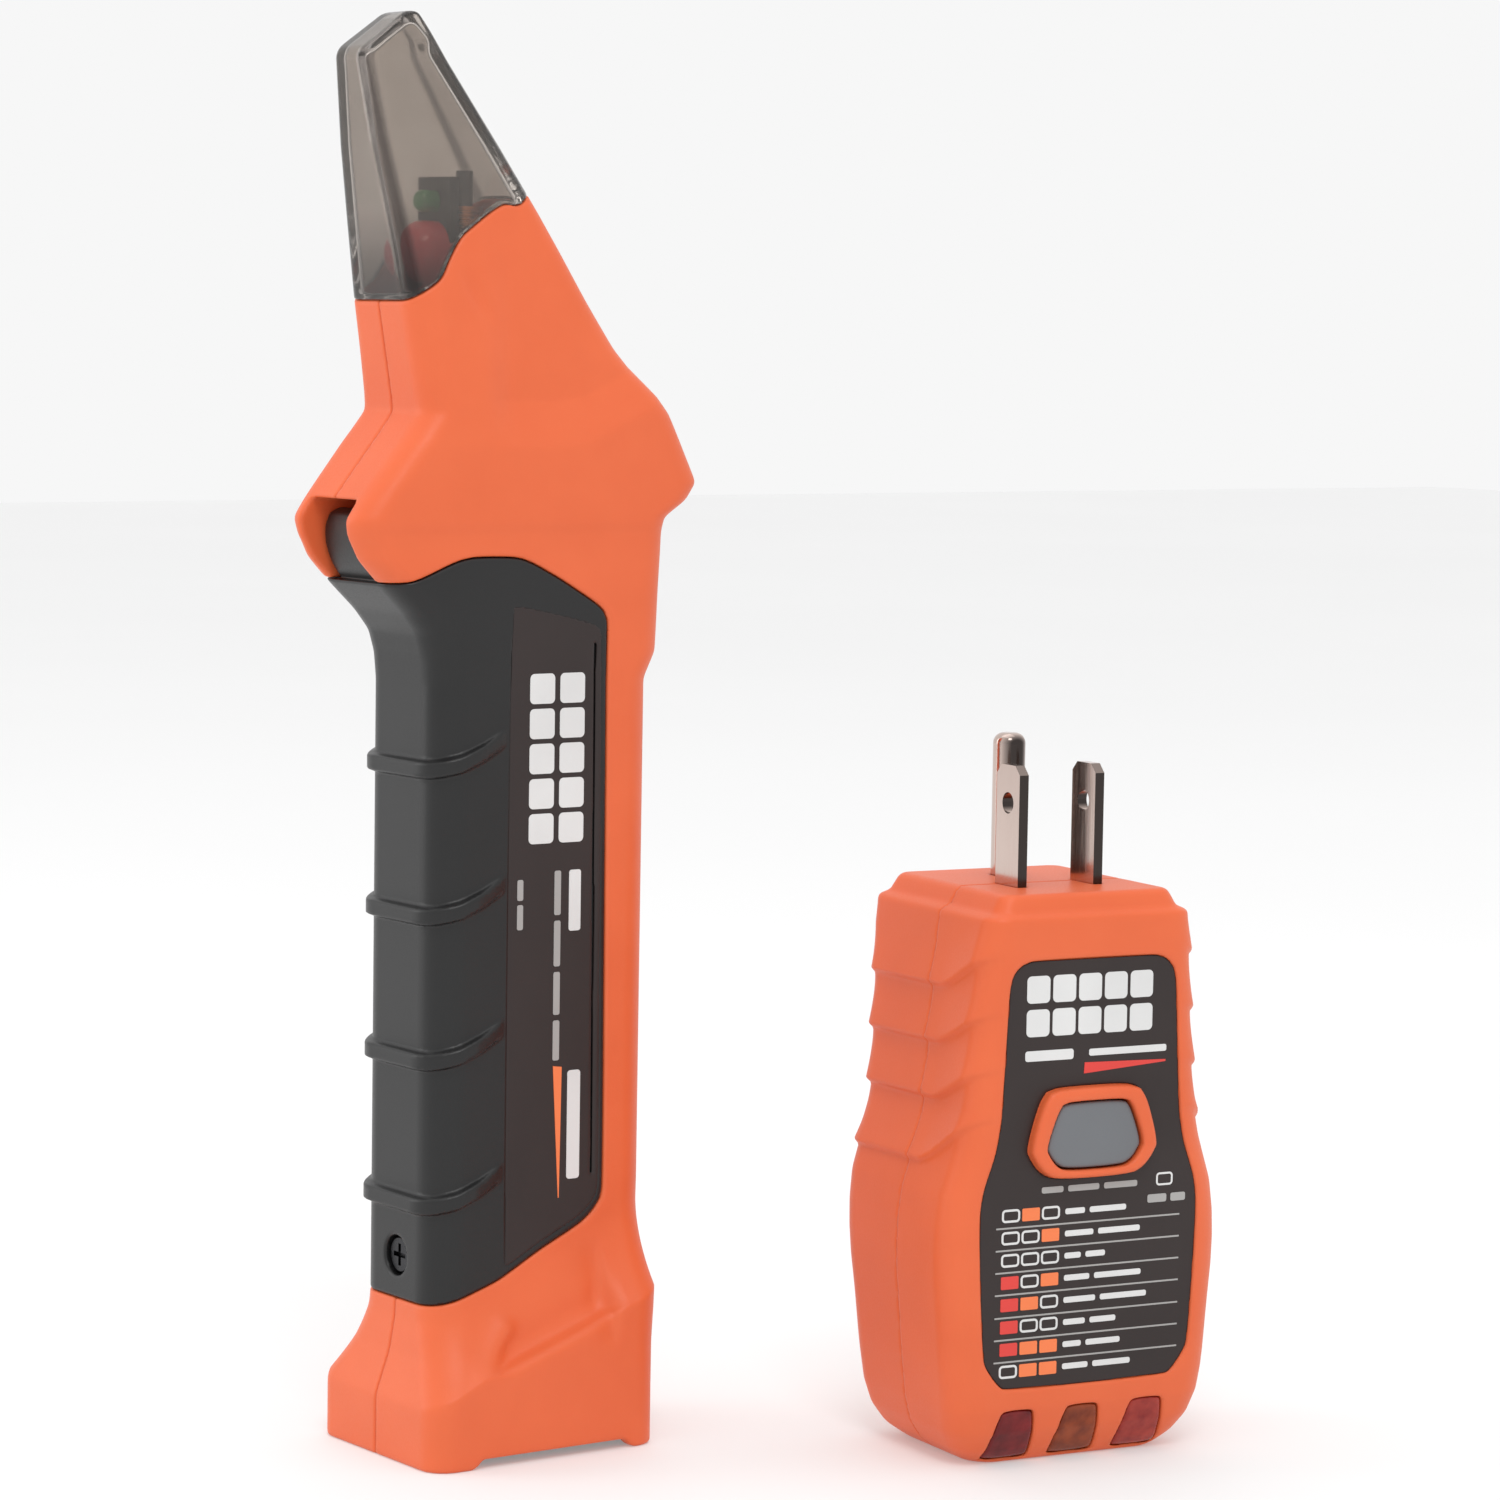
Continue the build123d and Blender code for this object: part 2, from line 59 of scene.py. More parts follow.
nodes = frame["nodes"]
OX, OY = 31.09, -22.294
TX_AT, TX_TURN = (66.55, -44.68), math.radians(-7.94)


# ------------------------------------------------------------------ fields
def smax(a, b, k):
    h = np.maximum(k - np.abs(a - b), 0.0)
    return np.maximum(a, b) + h * h / (4.0 * k)


def smin(a, b, k):
    h = np.maximum(k - np.abs(a - b), 0.0)
    return np.minimum(a, b) - h * h / (4.0 * k)


def step(x, a, b):
    t = np.clip((x - a) / (b - a), 0.0, 1.0)
    return t * t * (3.0 - 2.0 * t)


def table(rows, col, sigma):
    z = np.arange(-14.0, 224.0, 0.1)
    v = np.interp(z, [r[0] for r in rows], [r[col] for r in rows])
    k = np.exp(-0.5 * (np.arange(-40, 41) * 0.1 / sigma) ** 2)
    k /= k.sum()
    v = np.convolve(np.pad(v, 40, mode="edge"), k, mode="valid")
    return lambda q: np.interp(q, z, v)


def box_d(x, y, z, x0, x1, y0, y1, z0, z1, r=0.0):
    qx = np.abs(x - (x0 + x1) / 2) - (x1 - x0) / 2 + r
    qy = np.abs(y - (y0 + y1) / 2) - (y1 - y0) / 2 + r
    qz = np.abs(z - (z0 + z1) / 2) - (z1 - z0) / 2 + r
    out = np.sqrt(np.maximum(qx, 0) ** 2 + np.maximum(qy, 0) ** 2 + np.maximum(qz, 0) ** 2)
    return out + np.minimum(np.maximum(np.maximum(qx, qy), qz), 0) - r


def plan_d(x, y, x0, x1, y0, y1, r):
    """Rounded rectangle in plan; its limits may vary with height."""
    qx = np.abs(x - (x0 + x1) / 2) - (x1 - x0) / 2 + r
    qy = np.abs(y - (y0 + y1) / 2) - (y1 - y0) / 2 + r
    return np.minimum(np.maximum(qx, qy), 0) + np.sqrt(np.maximum(qx, 0) ** 2 + np.maximum(qy, 0) ** 2) - r


def rod_d(a, b, c, a0, b0, r, c0, c1, k=0.15):
    """Round rod along c."""
    return smax(np.sqrt((a - a0) ** 2 + (b - b0) ** 2) - r, np.abs(c - (c0 + c1) / 2) - (c1 - c0) / 2, k)


def chaikin(points, cut, rounds):
    """Round a closed outline's corners: cut is the length taken from each side of a corner, in millimetres."""
    p = np.array(points, float)
    for n in range(rounds):
        q = []
        for i in range(len(p)):
            a, b = p[i], p[(i + 1) % len(p)]
            length = float(np.hypot(*(b - a)))
            t = min(0.25 if n else 0.42, cut / max(length, 1e-6)) if n == 0 else 0.25
            q += [a + (b - a) * t, b + (a - b) * t]
        p = np.array(q)
    return p


def outline(points, cut=0.0, rounds=3, step_mm=0.2, pad=6.0):
    """Distance to a closed outline in X-Z (negative inside), from a fine table."""
    p = chaikin(points, cut, rounds) if cut > 0 else np.array(points, float)
    lo, hi = p.min(0) - pad, p.max(0) + pad
    gx, gz = np.arange(lo[0], hi[0], step_mm), np.arange(lo[1], hi[1], step_mm)
    X, Z = gx[:, None], gz[None, :]
    best = np.full((len(gx), len(gz)), 1e9)
    inside = np.zeros((len(gx), len(gz)), bool)
    for i in range(len(p)):
        (ax, az), (bx, bz) = p[i], p[(i + 1) % len(p)]
        ex, ez = bx - ax, bz - az
        t = np.clip(((X - ax) * ex + (Z - az) * ez) / max(ex * ex + ez * ez, 1e-12), 0, 1)
        best = np.minimum(best, (X - ax - t * ex) ** 2 + (Z - az - t * ez) ** 2)
        if az != bz:
            inside ^= ((az > Z) != (bz > Z)) & (X < (bx - ax) * (Z - az) / (bz - az) + ax)
    d = np.sqrt(best) * np.where(inside, -1.0, 1.0)

    def at(x, z):
        fx = np.clip((x - lo[0]) / step_mm, 0, len(gx) - 1.001)
        fz = np.clip((z - lo[1]) / step_mm, 0, len(gz) - 1.001)
        ix, iz = fx.astype(int), fz.astype(int)
        tx, tz = fx - ix, fz - iz
        return (d[ix, iz] * (1 - tx) * (1 - tz) + d[ix + 1, iz] * tx * (1 - tz)
                + d[ix, iz + 1] * (1 - tx) * tz + d[ix + 1, iz + 1] * tx * tz)
    return at


# ------------------------------------------------------------------ meshing
EDGES = []
for c in range(8):
    a = (c & 1, (c >> 1) & 1, (c >> 2) & 1)
    for ax in range(3):
        if not a[ax]:
            b = list(a)
            b[ax] = 1
            EDGES.append((a, tuple(b)))


def net(f, lo, hi, h, polish=2):
    """Closed quad mesh of f = 0, with its points moved onto the surface."""
    n = [int(math.ceil((b - a) / h)) + 1 for a, b in zip(lo, hi)]
    ax = [a + h * np.arange(k) for a, k in zip(lo, n)]
    F = np.empty(n, np.float32)
    for s in range(0, n[0], 32):
        F[s:s + 32] = f(ax[0][s:s + 32, None, None], ax[1][None, :, None], ax[2][None, None, :])
    F[[0, -1]] = np.maximum(F[[0, -1]], 0.01)
    F[:, [0, -1]] = np.maximum(F[:, [0, -1]], 0.01)
    F[:, :, [0, -1]] = np.maximum(F[:, :, [0, -1]], 0.01)
    S = F < 0
    some = np.zeros([k - 1 for k in n], bool)
    every = np.ones([k - 1 for k in n], bool)
    for c in range(8):
        i, j, k = c & 1, (c >> 1) & 1, (c >> 2) & 1
        part = S[i:n[0] - 1 + i, j:n[1] - 1 + j, k:n[2] - 1 + k]
        some |= part
        every &= part
    cells = np.argwhere(some & ~every)
    ids = np.full(some.shape, -1, np.int64)
    ids[tuple(cells.T)] = np.arange(len(cells))
    total = np.zeros((len(cells), 3))
    count = np.zeros(len(cells))
    for a, b in EDGES:
        pa, pb = cells + a, cells + b
        fa, fb = F[tuple(pa.T)].astype(float), F[tuple(pb.T)].astype(float)
        cross = (fa < 0) != (fb < 0)
        t = np.where(cross, fa / np.where(cross, fa - fb, 1.0), 0.0)
        total += np.where(cross[:, None], np.array(a) + t[:, None] * (np.array(b) - a), 0.0)
        count += cross
    v = (cells + total / count[:, None]) * h + np.array(lo)
    quads = []
    for axis in range(3):
        b, c = (axis + 1) % 3, (axis + 2) % 3
        e = [np.array([int(q == w) for q in range(3)]) for w in range(3)]
        up = tuple(slice(1, None) if q == axis else slice(None) for q in range(3))
        dn = tuple(slice(None, -1) if q == axis else slice(None) for q in range(3))
        p = np.argwhere(S[up] != S[dn])
        p = p[(p[:, b] > 0) & (p[:, c] > 0) & (p[:, b] < n[b] - 1) & (p[:, c] < n[c] - 1)]
        ring = [p - e[b] - e[c], p - e[c], p, p - e[b]]
        q = np.stack([ids[tuple(r.T)] for r in ring], 1)
        flip = ~S[tuple(p.T)]
        q[flip] = q[flip][:, ::-1]
        quads.append(q)
    q = np.concatenate(quads)
    e = 0.04
    for _ in range(polish):
        x, y, z = v.T
        g = np.stack([f(x + e, y, z) - f(x - e, y, z), f(x, y + e, z) - f(x, y - e, z),
                      f(x, y, z + e) - f(x, y, z - e)], 1) / (2 * e)
        move = -f(x, y, z)[:, None] * g / (np.sum(g * g, 1)[:, None] + 1e-4)
        size = np.linalg.norm(move, axis=1)[:, None]
        v = v + move * np.minimum(1.0, 0.45 * h / np.maximum(size, 1e-9))
    return v, q


def to_row(v, unit):
    v = np.asarray(v, float).copy()
    if unit == "transmitter":
        c, s = math.cos(TX_TURN), math.sin(TX_TURN)
        x = TX_AT[0] + c * v[:, 0] - s * v[:, 1]
        y = TX_AT[1] + s * v[:, 0] + c * v[:, 1]
        v[:, 0], v[:, 1] = x, y
    v[:, 0] -= OX
    v[:, 1] -= OY
    return v / 1000.0


def piece(name, v, q, unit, body, mat, replaces=(), smooth=True):
    me = bpy.data.meshes.new(name)
    v = to_row(v, unit)
    if isinstance(q, np.ndarray):
        me.vertices.add(len(v))
        me.vertices.foreach_set("co", v.ravel().astype(np.float32))
        me.loops.add(q.size)
        me.loops.foreach_set("vertex_index", q.ravel().astype(np.int32))
        me.polygons.add(len(q))
        me.polygons.foreach_set("loop_start", (np.arange(len(q)) * q.shape[1]).astype(np.int32))
        me.update(calc_edges=True)
    else:
        me.from_pydata([tuple(p) for p in v], [], q)
    me.validate()
    me.polygons.foreach_set("use_smooth", np.full(len(me.polygons), smooth))
    me.materials.append(mat)
    ob = bpy.data.objects.new(name, me)
    bpy.context.scene.collection.objects.link(ob)
    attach(ob, body)
    if replaces:
        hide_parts(*replaces)
    return ob


# ---------------------------------------------------------------- materials
def material(name, color, rough, vary=0.06, grain=0.0, grain_size=0.35, metallic=0.0, second=None, patch_size=14.0,
             rough_vary=0.06, streak=None, coat=0.0, edge=None, **extra):
    """Procedural surface. Sizes are in millimetres."""
    m = bpy.data.materials.new(name)
    m.use_nodes = True
    nt = m.node_tree
    N, L = nt.nodes, nt.links
    N.clear()
    out = N.new("ShaderNodeOutputMaterial")
    bsdf = N.new("ShaderNodeBsdfPrincipled")
    L.new(bsdf.outputs[0], out.inputs[0])
    co = N.new("ShaderNodeTexCoord")
    # broad, very soft colour drift, then fine moulding speckle
    broad = N.new("ShaderNodeTexNoise")
    broad.inputs["Scale"].default_value = 1000.0 / patch_size
    broad.inputs["Detail"].default_value = 3.0
    L.new(co.outputs["Object"], broad.inputs["Vector"])
    ramp = N.new("ShaderNodeValToRGB")
    dark = [c * (1.0 - vary) for c in color]
    light = list(second) if second else [min(1.0, c * (1.0 + vary)) for c in color]
    ramp.color_ramp.elements[0].position, ramp.color_ramp.elements[1].position = 0.30, 0.72
    ramp.color_ramp.elements[0].color = (*dark, 1)
    ramp.color_ramp.elements[1].color = (*light, 1)
    L.new(broad.outputs["Fac"], ramp.inputs["Fac"])
    color_out = ramp.outputs["Color"]
    if edge is not None:
        geo = N.new("ShaderNodeNewGeometry")
        er = N.new("ShaderNodeValToRGB")
        er.color_ramp.elements[0].position, er.color_ramp.elements[1].position = 0.53, 0.62
        er.color_ramp.elements[0].color = (0, 0, 0, 1)
        er.color_ramp.elements[1].color = (0.55, 0.55, 0.55, 1)
        L.new(geo.outputs["Pointiness"], er.inputs["Fac"])
        mix = N.new("ShaderNodeMix")
        mix.data_type = "RGBA"
        L.new(er.outputs["Color"], mix.inputs["Factor"])
        L.new(color_out, mix.inputs["A"])
        mix.inputs["B"].default_value = (*edge, 1)
        color_out = mix.outputs["Result"]
    L.new(color_out, bsdf.inputs["Base Color"])
    fine = N.new("ShaderNodeTexNoise")
    fine.inputs["Scale"].default_value = 1000.0 / grain_size
    fine.inputs["Detail"].default_value = 2.0
    L.new(co.outputs["Object"], fine.inputs["Vector"])
    rr = N.new("ShaderNodeMapRange")
    rr.inputs["From Min"].default_value, rr.inputs["From Max"].default_value = 0.3, 0.7
    rr.inputs["To Min"].default_value = max(0.02, rough - rough_vary)
    rr.inputs["To Max"].default_value = min(1.0, rough + rough_vary)
    src = fine
    if streak:
        mp = N.new("ShaderNodeMapping")
        mp.inputs["Scale"].default_value = streak
        L.new(co.outputs["Object"], mp.inputs["Vector"])
        st = N.new("ShaderNodeTexNoise")
        st.inputs["Scale"].default_value = 1000.0
        st.inputs["Detail"].default_value = 2.0
        L.new(mp.outputs["Vector"], st.inputs["Vector"])
        src = st
    L.new(src.outputs["Fac"], rr.inputs["Value"])
    L.new(rr.outputs["Result"], bsdf.inputs["Roughness"])
    if grain > 0:
        bump = N.new("ShaderNodeBump")
        bump.inputs["Strength"].default_value = 1.0
        bump.inputs["Distance"].default_value = grain / 1000.0
        L.new(src.outputs["Fac"], bump.inputs["Height"])
        L.new(bump.outputs["Normal"], bsdf.inputs["Normal"])
    bsdf.inputs["Metallic"].default_value = metallic
    if coat:
        bsdf.inputs["Coat Weight"].default_value = coat
        bsdf.inputs["Coat Roughness"].default_value = 0.12
    for k, val in extra.items():
        bsdf.inputs[k.replace("_", " ")].default_value = val
    return m


M = {}
M["orange_abs"] = material("orange_abs", (0.745, 0.132, 0.042), 0.44, vary=0.03, grain=0.012, grain_size=0.28,
                           second=(0.765, 0.142, 0.047), Specular_IOR_Level=0.36,
                           Subsurface_Weight=0.06, Subsurface_Radius=(0.002, 0.0006, 0.0003), Subsurface_Scale=1.0)
M["black_grip"] = material("black_grip", (0.0065, 0.0065, 0.0068), 0.38, vary=0.12, grain=0.014, grain_size=0.22,
                           rough_vary=0.05, Specular_IOR_Level=0.46)
M["black_plastic"] = material("black_plastic", (0.030, 0.030, 0.032), 0.5, vary=0.12, grain=0.012)
M["panel_film"] = material("panel_film", (0.030, 0.0215, 0.0205), 0.40, vary=0.07, grain=0.006, grain_size=0.18,
                           rough_vary=0.04, Specular_IOR_Level=0.30)
M["steel"] = material("steel", (0.45, 0.45, 0.46), 0.34, vary=0.1, grain=0.006, metallic=1.0, streak=(0.3, 0.3, 4.0),
                      rough_vary=0.1)
M["dark_steel"] = material("dark_steel", (0.045, 0.045, 0.048), 0.34, vary=0.15, grain=0.006, metallic=1.0, rough_vary=0.1)
# nickel blades: the warm, darkened tint is partly the plating's own colour and partly a painted reflection of darker,
# warm-coloured surroundings
M["nickel"] = material("nickel", (0.60, 0.48, 0.43), 0.15, vary=0.05, grain=0.0025, metallic=1.0, streak=(3.0, 3.0, 0.12),
                       rough_vary=0.05)


def paint_dark_edge_reflection(m, direction, dark):
    """Painted dark reflection: the stamped edges, whose normals lie along direction, are mixed towards a dark colour
    that stands in for the dark surroundings they reflect.
    """
    N, L = m.node_tree.nodes, m.node_tree.links
    b = next(n for n in N if n.type == "BSDF_PRINCIPLED")
    old = b.inputs["Base Color"].links[0].from_socket
    tc = N.new("ShaderNodeTexCoord")
    dot = N.new("ShaderNodeVectorMath")
    dot.operation = "DOT_PRODUCT"
    L.new(tc.outputs["Normal"], dot.inputs[0])
    dot.inputs[1].default_value = direction
    ramp = N.new("ShaderNodeValToRGB")
    ramp.color_ramp.elements[0].position, ramp.color_ramp.elements[1].position = 0.45, 0.92
    ramp.color_ramp.elements[0].color = (0, 0, 0, 1)
    ramp.color_ramp.elements[1].color = (1, 1, 1, 1)
    L.new(dot.outputs["Value"], ramp.inputs["Fac"])
    mix = N.new("ShaderNodeMix")
    mix.data_type = "RGBA"
    L.new(ramp.outputs["Color"], mix.inputs["Factor"])
    L.new(old, mix.inputs["A"])
    # dark is the colour of the painted reflection on those edges
    mix.inputs["B"].default_value = (*dark, 1)
    L.new(mix.outputs["Result"], b.inputs["Base Color"])


# painted dark reflection on the blades' stamped edges that face the front
paint_dark_edge_reflection(M["nickel"], (-math.sin(-TX_TURN), -math.cos(-TX_TURN), 0.0), (0.055, 0.045, 0.042))
M["grey_button"] = material("grey_button", (0.150, 0.158, 0.170), 0.46, vary=0.03, grain=0.01, grain_size=0.25)
M["dark_button"] = material("dark_button", (0.07, 0.07, 0.075), 0.6, vary=0.08, grain=0.015, grain_size=0.3)
M["battery_jacket"] = material("battery_jacket", (0.10, 0.12, 0.15), 0.3, vary=0.08, grain=0.003, metallic=0.7, coat=0.5)
M["board_green"] = material("board_green", (0.02, 0.11, 0.06), 0.35, vary=0.2, grain=0.01, grain_size=0.8, coat=0.4)
M["chip_black"] = material("chip_black", (0.022, 0.022, 0.024), 0.55, vary=0.2, grain=0.012, grain_size=0.15)
M["copper"] = material("copper", (0.66, 0.27, 0.11), 0.28, vary=0.12, grain=0.04, metallic=1.0, streak=(0.05, 0.05, 2.6))
M["ferrite"] = material("ferrite", (0.06, 0.06, 0.065), 0.5, vary=0.15, grain=0.01)
# the red LED's weak emission is a painted glow: it stands in for light that the clear nose keeps from reaching it
M["led_red"] = material("led_red", (0.85, 0.04, 0.05), 0.18, vary=0.08, grain=0.0, coat=0.6,
                         Emission_Color=(0.9, 0.05, 0.06, 1.0), Emission_Strength=0.10)
M["led_green"] = material("led_green", (0.04, 0.32, 0.08), 0.18, vary=0.08, grain=0.0, coat=0.6)
M["lens_red"] = material("lens_red", (0.115, 0.005, 0.007), 0.16, vary=0.2, grain=0.004, grain_size=0.6, patch_size=2.5,
                         second=(0.20, 0.010, 0.012), coat=0.06, rough_vary=0.03, Specular_IOR_Level=0.32)
M["lens_rose"] = material("lens_rose", (0.27, 0.018, 0.016), 0.16, vary=0.2, grain=0.004, grain_size=0.6, patch_size=2.5,
                          second=(0.40, 0.045, 0.028), coat=0.06, rough_vary=0.03, Specular_IOR_Level=0.32)
M["lens_amber"] = material("lens_amber", (0.18, 0.026, 0.006), 0.16, vary=0.2, grain=0.004, grain_size=0.6, patch_size=2.5,
                           second=(0.30, 0.055, 0.012), coat=0.06, rough_vary=0.03, Specular_IOR_Level=0.32)
M["diffuser"] = material("diffuser", (0.70, 0.69, 0.66), 0.55, vary=0.04, grain=0.01)
M["foam"] = material("foam", (0.05, 0.05, 0.052), 0.95, vary=0.3, grain=0.12, grain_size=0.5)
M["wire"] = material("wire", (0.35, 0.02, 0.02), 0.4, vary=0.08, grain=0.008)
M["blue_part"] = material("blue_part", (0.03, 0.10, 0.30), 0.3, vary=0.1, grain=0.01, coat=0.3)
M["ink_white"] = material("ink_white", (0.68, 0.68, 0.675), 0.42, vary=0.05, grain=0.003, grain_size=0.15)
M["ink_grey"] = material("ink_grey", (0.36, 0.35, 0.34), 0.42, vary=0.04, grain=0.003, grain_size=0.15)
M["ink_orange"] = material("ink_orange", (0.86, 0.20, 0.06), 0.42, vary=0.03, grain=0.003, grain_size=0.15)
M["ink_red"] = material("ink_red", (0.70, 0.045, 0.035), 0.42, vary=0.03, grain=0.003, grain_size=0.15)


def smoke():
    """Smoked clear polycarbonate: tinted, slightly hazy, darker where it is seen edge-on and near its foot."""
    m = bpy.data.materials.new("smoke_clear")
    m.use_nodes = True
    N, L = m.node_tree.nodes, m.node_tree.links
    N.clear()
    out = N.new("ShaderNodeOutputMaterial")
    b = N.new("ShaderNodeBsdfPrincipled")
    L.new(b.outputs[0], out.inputs[0])
    co = N.new("ShaderNodeTexCoord")
    n = N.new("ShaderNodeTexNoise")
    n.inputs["Scale"].default_value = 90.0
    n.inputs["Detail"].default_value = 2.0
    L.new(co.outputs["Object"], n.inputs["Vector"])
    r = N.new("ShaderNodeValToRGB")
    r.color_ramp.elements[0].position, r.color_ramp.elements[1].position = 0.3, 0.7
    r.color_ramp.elements[0].color = (0.54, 0.485, 0.44, 1)
    r.color_ramp.elements[1].color = (0.60, 0.545, 0.50, 1)
    L.new(n.outputs["Fac"], r.inputs["Fac"])
    lw = N.new("ShaderNodeLayerWeight")
    lw.inputs["Blend"].default_value = 0.42
    er = N.new("ShaderNodeValToRGB")
    er.color_ramp.elements[0].position, er.color_ramp.elements[1].position = 0.32, 0.82
    er.color_ramp.elements[0].color = (1, 1, 1, 1)
    er.color_ramp.elements[1].color = (0.22, 0.215, 0.22, 1)
    L.new(lw.outputs["Facing"], er.inputs["Fac"])
    m1 = N.new("ShaderNodeMix")
    m1.data_type, m1.blend_type = "RGBA", "MULTIPLY"
    m1.inputs["Factor"].default_value = 1.0
    L.new(r.outputs["Color"], m1.inputs["A"])
    L.new(er.outputs["Color"], m1.inputs["B"])
    sp = N.new("ShaderNodeSeparateXYZ")
    L.new(co.outputs["Object"], sp.inputs[0])
    zr = N.new("ShaderNodeMapRange")
    zr.inputs["From Min"].default_value, zr.inputs["From Max"].default_value = 0.164, 0.178
    zr.inputs["To Min"].default_value, zr.inputs["To Max"].default_value = 0.42, 1.0
    L.new(sp.outputs["Z"], zr.inputs["Value"])
    # rounded corners between the broad and the narrow walls are thicker, so darker
    sn = N.new("ShaderNodeSeparateXYZ")
    L.new(co.outputs["Normal"], sn.inputs[0])
    ab = N.new("ShaderNodeMath")
    ab.operation = "ABSOLUTE"
    L.new(sn.outputs["Y"], ab.inputs[0])
    cr = N.new("ShaderNodeValToRGB")
    cr.color_ramp.elements[0].position, cr.color_ramp.elements[1].position = 0.16, 0.34
    cr.color_ramp.elements[0].color = (1, 1, 1, 1)
    cr.color_ramp.elements[1].color = (0.36, 0.35, 0.36, 1)
    e2 = cr.color_ramp.elements.new(0.82)
    e2.color = (0.36, 0.35, 0.36, 1)
    e3 = cr.color_ramp.elements.new(0.95)
    e3.color = (1, 1, 1, 1)
    L.new(ab.outputs[0], cr.inputs["Fac"])
    m3 = N.new("ShaderNodeMix")
    m3.data_type, m3.blend_type = "RGBA", "MULTIPLY"
    m3.inputs["Factor"].default_value = 1.0
    L.new(m1.outputs["Result"], m3.inputs["A"])
    L.new(cr.outputs["Color"], m3.inputs["B"])
    m2 = N.new("ShaderNodeVectorMath")
    m2.operation = "SCALE"
    L.new(m3.outputs["Result"], m2.inputs[0])
    L.new(zr.outputs["Result"], m2.inputs["Scale"])
    L.new(m2.outputs[0], b.inputs["Base Color"])
    mr = N.new("ShaderNodeMapRange")
    mr.inputs["From Min"].default_value, mr.inputs["From Max"].default_value = 0.3, 0.7
    mr.inputs["To Min"].default_value, mr.inputs["To Max"].default_value = 0.07, 0.12
    L.new(n.outputs["Fac"], mr.inputs["Value"])
    L.new(mr.outputs["Result"], b.inputs["Roughness"])
    b.inputs["Transmission Weight"].default_value = 0.92
    b.inputs["IOR"].default_value = 1.42
    b.inputs["Specular IOR Level"].default_value = 0.35
    return m


M["smoke_clear"] = smoke()

# ================================================================ receiver
RX = [(-10.0, -19.2, 19.4, 16.2, 4.0), (8.8, -19.2, 19.4, 16.2, 4.0),
      (11.9, -18.1, 19.6, 14.8, 4.4), (15.0, -17.0, 19.8, 13.2, 4.8),
      (20.0, -16.1, 20.3, 11.3, 5.2), (30.0, -16.0, 20.6, 10.6, 5.0),
      (38.0, -16.0, 20.8, 10.4, 5.0), (111.0, -16.0, 20.9, 10.4, 5.0),
      (114.8, -16.3, 22.7, 10.5, 5.0), (118.0, -17.2, 22.8, 10.6, 5.0),
      (121.0, -19.5, 22.8, 10.7, 4.9), (124.2, -22.8, 22.8, 10.9, 4.8),
      (128.7, -27.2, 22.9, 11.1, 4.6), (132.0, -28.9, 22.9, 11.2, 4.4),
      (134.2, -29.2, 23.1, 11.3, 4.2), (136.6, -27.6, 26.8, 11.3, 4.2),
      (139.2, -25.6, 28.6, 11.3, 4.2), (146.5, -19.8, 25.0, 11.2, 4.2),
      (149.2, -17.8, 23.6, 11.0, 4.2), (151.6, -18.1, 21.7, 10.7, 4.2),
      (158.2, -19.2, 15.5, 9.9, 4.0), (165.2, -20.4, 10.6, 9.3, 3.8),
      (172.2, -21.5, 6.1, 8.4, 3.4), (186.1, -24.0, -2.9, 6.3, 2.8),
      (198.3, -25.7, -11.1, 4.3, 2.0), (205.2, -26.5, -15.6, 3.7, 1.7)]
HALF = [(-10.0, 10.4), (38.0, 10.4), (111.0, 10.4), (118.0, 10.6), (124.2, 10.85), (132.5, 11.05), (133.5, 11.3),
        (144.6, 11.28), (151.6, 10.5), (158.2, 9.85), (165.2, 9.25), (172.2, 8.35), (186.1, 6.3), (198.3, 4.3),
        (205.2, 3.7)]
HEAD_IN = [(132.5, -14.5, 19.8, 8.6, 3.0), (139.0, -16.0, 23.5, 9.0, 3.0),
           (149.2, -15.4, 20.6, 8.8, 3.0), (158.2, -16.8, 12.6, 7.8, 2.6),
           (165.2, -18.2, 8.0, 7.2, 2.4), (172.2, -19.4, 3.8, 6.4, 2.0),
           (186.1, -22.0, -5.1, 4.5, 1.6), (199.0, -23.8, -13.8, 2.6, 1.0)]
XB, XF, RR = table(RX, 1, 0.45), table(RX, 2, 0.45), table(RX, 4, 0.8)
HH = table(HALF, 1, 0.40)
IB, IF_, IH, IR = (table(HEAD_IN, c, 0.6) for c in (1, 2, 3, 4))

COVER_XZ = [(-34, 125.4), (-21.8, 125.4), (-19.4, 126.0), (-14.5, 128.0), (-12.0, 128.8),
            (-9.5, 129.0), (-3.7, 128.9), (-1.2, 128.2), (4.0, 125.6), (10.8, 121.7),
            (11.9, 120.4), (12.2, 118.9), (12.4, 79.3), (12.7, 37.0), (11.8, 34.9),
            (9.1, 32.6), (1.9, 29.3), (-4.9, 25.6), (-11.6, 23.4), (-14.9, 22.5), (-34, 21.4)]
NOSE_XZ = [(-40, 164.4), (-20.2, 164.4), (-18.9, 165.4), (-15.2, 167.6), (-13.6, 170.7),
           (-11.5, 173.8), (-5.9, 177.6), (-3.6, 178.7), (-1.8, 178.0), (-0.4, 179.2), (3, 181.5),
           (30, 182), (30, 230), (-40, 230)]
PANEL = [(-4.3, 122.4), (10.2, 119.2), (11.3, 117.8), (11.6, 79.3), (11.9, 37.6), (11.2, 35.7), (8.8, 33.6), (1.5, 30.2),
         (-4.3, 27.0)]
cover_b = outline(COVER_XZ, 0.9, 3)
nose_b = outline(NOSE_XZ, 0.7, 3)
panel_b = outline(PANEL, 0.8, 3)
tongue_b = outline([(-17.0, 122.0), (-21.0, 123.4), (-24.4, 127.6), (-25.6, 131.0), (-25.4, 134.0), (-24.0, 135.6),
                    (-22.0, 135.6), (-20.9, 133.5), (-20.6, 130.0), (-19.4, 125.0)], 0.8, 3)


